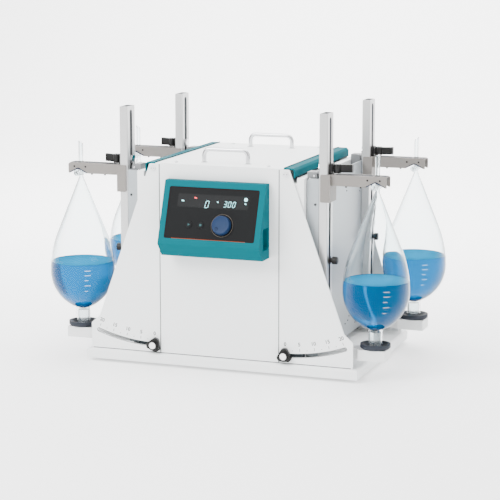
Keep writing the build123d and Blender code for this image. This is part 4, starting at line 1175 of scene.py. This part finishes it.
    def _arm_groove(self) -> None:
        """Lines the channel along the arm's top, round the stem's hole, with painted shade."""
        low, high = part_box(self.arm)
        first, half, gap = self.channel
        reach = max(abs(low[0]), abs(high[0])) / MM - 3
        length = reach - first
        stem = self.datum.funnel_x / MM
        start, hole = (first, stem - first) if self.sign > 0 else (-reach, reach - stem)
        place = axes(self.datum.at(start, self.y, self.datum.above(high[2]) - self.clamp_rise - 0.02),
                     (1, 0, 0), (0, 0, 1))
        panels = {"near": block(0, -half, length, -gap), "far": block(0, gap, length, half),
                  "start": block(0, -gap, hole - gap, gap), "end": block(hole + gap, -gap, length, gap)}
        for part, outline in panels.items():
            place_piece(prism(f"arm_channel_{part}_{self.tail}", outline, 0.14, place), ARM_CHANNEL_SHADE, self.arm)

    def _lever_pin(self) -> None:
        """Adds the bright pin on which the cam lever turns."""
        x, z = self.lever_pin
        place = axes(self.datum.at(self.sign * x, self.y, z), (1, 0, 0), (0, 0, 1))
        profile = [(0, -0.3), (3.0, -0.3), (3.0, 0.9), (2.2, 1.5), (0, 1.7)]
        place_piece(lathe(f"lever_pin_{self.tail}", profile, place, 24), BRIGHT, f"clamp_lever_{self.tail}")


@dataclass
class Rack(SidePart):
    """One tilting side: frame, guides, drive, carriage, posts and two holders. Sizes in millimetres.

    Attributes:
        post_half: half the width of a post.
        post_wall: depth below a post's faces at which its hollow starts.
        carriage_x: distance of the carriage's outer face from the middle plane.
        carriage_screws: Y and Z of the small screws on it.
        guide_screws: X and Z of the screws on the front guide block.
        guide_y: face of that block, from the front funnel's axis.
        screw_radii: radii of the carriage's and the guide block's screws.
        cap: profile of the tilt knob's cap, as radius and height pairs.
    """

    post_half: float = 22.5
    post_wall: float = 0.9
    carriage_x: float = 235.0
    carriage_screws: tuple[tuple[float, float], ...] = ((239, 373), (349, 358), (267, 63), (318, 37),
                                                        (258, 54), (235, 50))
    guide_screws: tuple[tuple[float, float], ...] = ((211.5, 428), (221.5, 435))
    guide_y: float = -15.0
    screw_radii: tuple[float, float] = (1.7, 2.6)
    cap: tuple[tuple[float, float], ...] = ((0, HAIR), (8.1, HAIR), (8.1, 0.9), (7.6, 1.35), (6.5, 1.45),
                                            (0, 1.48))

    @property
    def holders(self) -> list[Holder]:
        """The rack's front and rear holders."""
        return [Holder(self.datum, self.side, station) for station in STATIONS]

    def dress(self) -> None:
        """Gives the CAD nodes of the rack their finishes."""
        plain = {"tilt_frame": (WHITE, 0.6), "guide_shafts": (CAST, 0.4), "gearmotor": (ENAMEL, 0.0),
                 "crank_disc": (STEEL, 0.3), "drive_yoke": (STEEL, 0.3), "carriage_plate": (SHEET, 0.5),
                 "linear_bearings": (STEEL, 0.5), "rest_arms": (REST, 0.8), "rubber_cups": (CUP, 0.6),
                 "funnels": (GLASS, 0.0), "stoppers": (GROUND, 0.0), "posts": (POST, 0.5),
                 "tilt_knob": (BLACK, 0.6)}
        for node, (finish, edge) in plain.items():
            dress(f"{node}_{self.side}", finish, edge)
        for holder in self.holders:
            holder.dress()
        self._dress_hollows()

    def _dress_hollows(self) -> None:
        """Darkens the inner faces of the posts, which the slots show."""
        low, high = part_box(f"posts_{self.side}")

        def hidden(face: bpy.types.MeshPolygon) -> bool:
            """Says whether a face is an inner one.

            Args:
                face: a face of the posts.

            Returns:
                Whether it stands upright and deeper than the wall.
            """
            x, y, _ = face.center
            deep_x = min(x - low[0], high[0] - x)
            deep_y = self.post_half * MM - min(abs(y - row) for row in self.datum.rows.values())
            return abs(face.normal.z) < 0.5 and min(deep_x, deep_y) > self.post_wall * MM

        dress_faces(f"posts_{self.side}", HOLLOW, hidden)

    def build(self) -> None:
        """Builds the two holders, the screws and the knob's cap."""
        for holder in self.holders:
            holder.build()
        self._screws()
        self._knob_cap()

    def _screw(self, name: str, spot: Vector, out: Sequence[float], size: float, finish: Finish,
               body: str) -> None:
        """Adds one socket screw's head.

        Args:
            name: the piece's name.
            spot: middle of its seat.
            out: direction that its head faces.
            size: radius of the head in millimetres.
            finish: its surface.
            body: the CAD body that it moves with.
        """
        profile = [(0, -0.2), (size, -0.2), (size, size * 0.5), (size * 0.8, size * 0.7),
                   (size * 0.45, size * 0.7), (size * 0.4, size * 0.25), (0, size * 0.25)]
        place_piece(lathe(name, profile, axes(spot, (0, 0, 1), out), 24), finish, body)

    def _screws(self) -> None:
        """Adds the small screws of the carriage and of the front guide block."""
        for i, (y, z) in enumerate(self.carriage_screws):
            self._screw(f"carriage_screw_{i}_{self.side}", self.datum.at(self.sign * self.carriage_x, y, z),
                        (self.sign, 0, 0), self.screw_radii[0], BLACK, f"carriage_{self.side}")
        front = self.datum.behind(self.datum.rows["front"]) + self.guide_y
        for i, (x, z) in enumerate(self.guide_screws):
            self._screw(f"guide_screw_{i}_{self.side}", self.datum.at(self.sign * x, front, z), (0, -1, 0),
                        self.screw_radii[1], BRIGHT, f"tilt_rack_{self.side}")

    def _knob_cap(self) -> None:
        """Fills the tilt knob's boss with its white cap."""
        low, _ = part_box(f"tilt_knob_{self.side}")
        x, z = self.datum.pivot
        spot = self.datum.at(self.sign * x, self.datum.behind(low[1]) + 1.5, z - self.datum.slot_radius)
        place_piece(lathe(f"tilt_knob_cap_{self.side}", self.cap, axes(spot, (1, 0, 0), (0, -1, 0)), 48), CAP,
                    f"tilt_knob_{self.side}")


@dataclass
class Studio:
    """Floor, lights and camera.

    Attributes:
        datum: shared places.
        eye: camera's place in metres from the middle plane, the front sheet and the deck.
        yaw: camera's turn about Z in degrees.
        pitch: camera's look down in degrees.
        lens: focal length in millimetres.
        sensor: width of the sensor in millimetres.
        floor: half the floor's width, its near and far ends on Y, and its height at the far end.
        sweep: radius in metres at which the floor turns up.
        sky: strength of the room's light at the horizon and overhead.
    """

    datum: Datum
    eye: tuple[float, float, float] = (1.4401, -3.7847, 0.98898)
    yaw: float = 19.81
    pitch: float = 10.261
    lens: float = 128.28
    sensor: float = 36.0
    floor: tuple[float, float, float, float] = (30.0, -30.0, 4.5, 5.0)
    sweep: float = 1.5
    sky: tuple[float, float] = (0.6, 1.95)

    def build(self) -> None:
        """Sets up the whole studio."""
        self._floor()
        self._world()
        self._lamp("key_softbox", (-1.6, -2.6, 2.6), 2.2, 215)
        self._lamp("top_softbox", (0.3, 0.2, 3.0), 2.6, 135)
        self._lamp("fill_softbox", (2.8, -1.4, 1.4), 2.0, 25)
        self._lamp("backdrop_softbox", (-0.9, 2.0, 2.9), 3.0, 400, (-1.3, 4.3, 0.6))
        self._camera()

    def _camera(self) -> None:
        """Stands the camera at the photograph's angle."""
        lens = bpy.data.cameras.new("camera")
        lens.lens = self.lens
        lens.sensor_width = self.sensor
        camera = bpy.data.objects.new("camera", lens)
        camera.location = (self.eye[0], self.datum.front + self.eye[1], self.datum.deck + self.eye[2])
        camera.rotation_euler = (math.radians(90 - self.pitch), 0, math.radians(self.yaw))
        bpy.context.scene.collection.objects.link(camera)
        bpy.context.scene.camera = camera

    def _floor(self) -> None:
        """Lays a pale floor that sweeps up behind the object."""
        work = bmesh.new()
        (wide, near, far, rise), bend, steps = self.floor, self.sweep, 12
        line = [(near, 0.0), (far - bend, 0.0)]
        line += [(far - bend + bend * math.sin(a), bend - bend * math.cos(a))
                 for a in (math.pi / 2 * i / steps for i in range(1, steps + 1))]
        line.append((far, rise))
        rows = [[work.verts.new((x, y, z)) for x in (-wide, wide)] for y, z in line]
        for low, high in zip(rows, rows[1:]):
            work.faces.new((low[0], low[1], high[1], high[0]))
        floor = place_piece(mesh_from("studio_floor", work), STUDIO, None, 60)

    def _world(self) -> None:
        """Fills the room with soft white light that fades towards the horizon."""
        world = bpy.data.worlds.new("studio")
        world.use_nodes = True
        tree = world.node_tree
        tree.nodes.clear()
        way = add_node(tree, "ShaderNodeTexCoord").outputs["Generated"]
        height = add_node(tree, "ShaderNodeSeparateXYZ", links={"Vector": way}).outputs["Z"]
        level = add_node(tree, "ShaderNodeMapRange", {
            "From Min": 0.0, "From Max": 0.7, "To Min": self.sky[0], "To Max": self.sky[1]},
            {"Value": height})
        light = add_node(tree, "ShaderNodeBackground", {"Color": linear("#FFFFFF")},
                         {"Strength": level.outputs["Result"]})
        add_node(tree, "ShaderNodeOutputWorld", links={"Surface": light.outputs["Background"]})
        bpy.context.scene.world = world

    def _lamp(self, name: str, spot: tuple[float, float, float], size: float, power: float,
              target: tuple[float, float, float] = (0, 0, 0.25)) -> None:
        """Adds one square softbox.

        Args:
            name: the lamp's name.
            spot: its place in metres.
            size: length of its sides in metres.
            power: radiant power in watts.
            target: place that it faces, the object's middle unless given.
        """
        data = bpy.data.lights.new(name, "AREA")
        data.size = size
        data.energy = power
        lamp = bpy.data.objects.new(name, data)
        lamp.location = spot
        aim = Vector(target) - Vector(spot)
        lamp.rotation_euler = aim.to_track_quat("-Z", "Y").to_euler()
        bpy.context.scene.collection.objects.link(lamp)


def main() -> None:
    """Builds every sub-assembly and the studio in order."""
    logging.basicConfig(level=logging.INFO, format="%(name)s: %(message)s")
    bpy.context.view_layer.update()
    datum = Datum.read()
    for part in (Cabinet(datum), ControlPanel(datum), Rack(datum, "right"), Rack(datum, "left")):
        part.dress()
        part.build()
        log.info("built %s", type(part).__name__)
    Studio(datum).build()


if __name__ == "__main__":
    main()
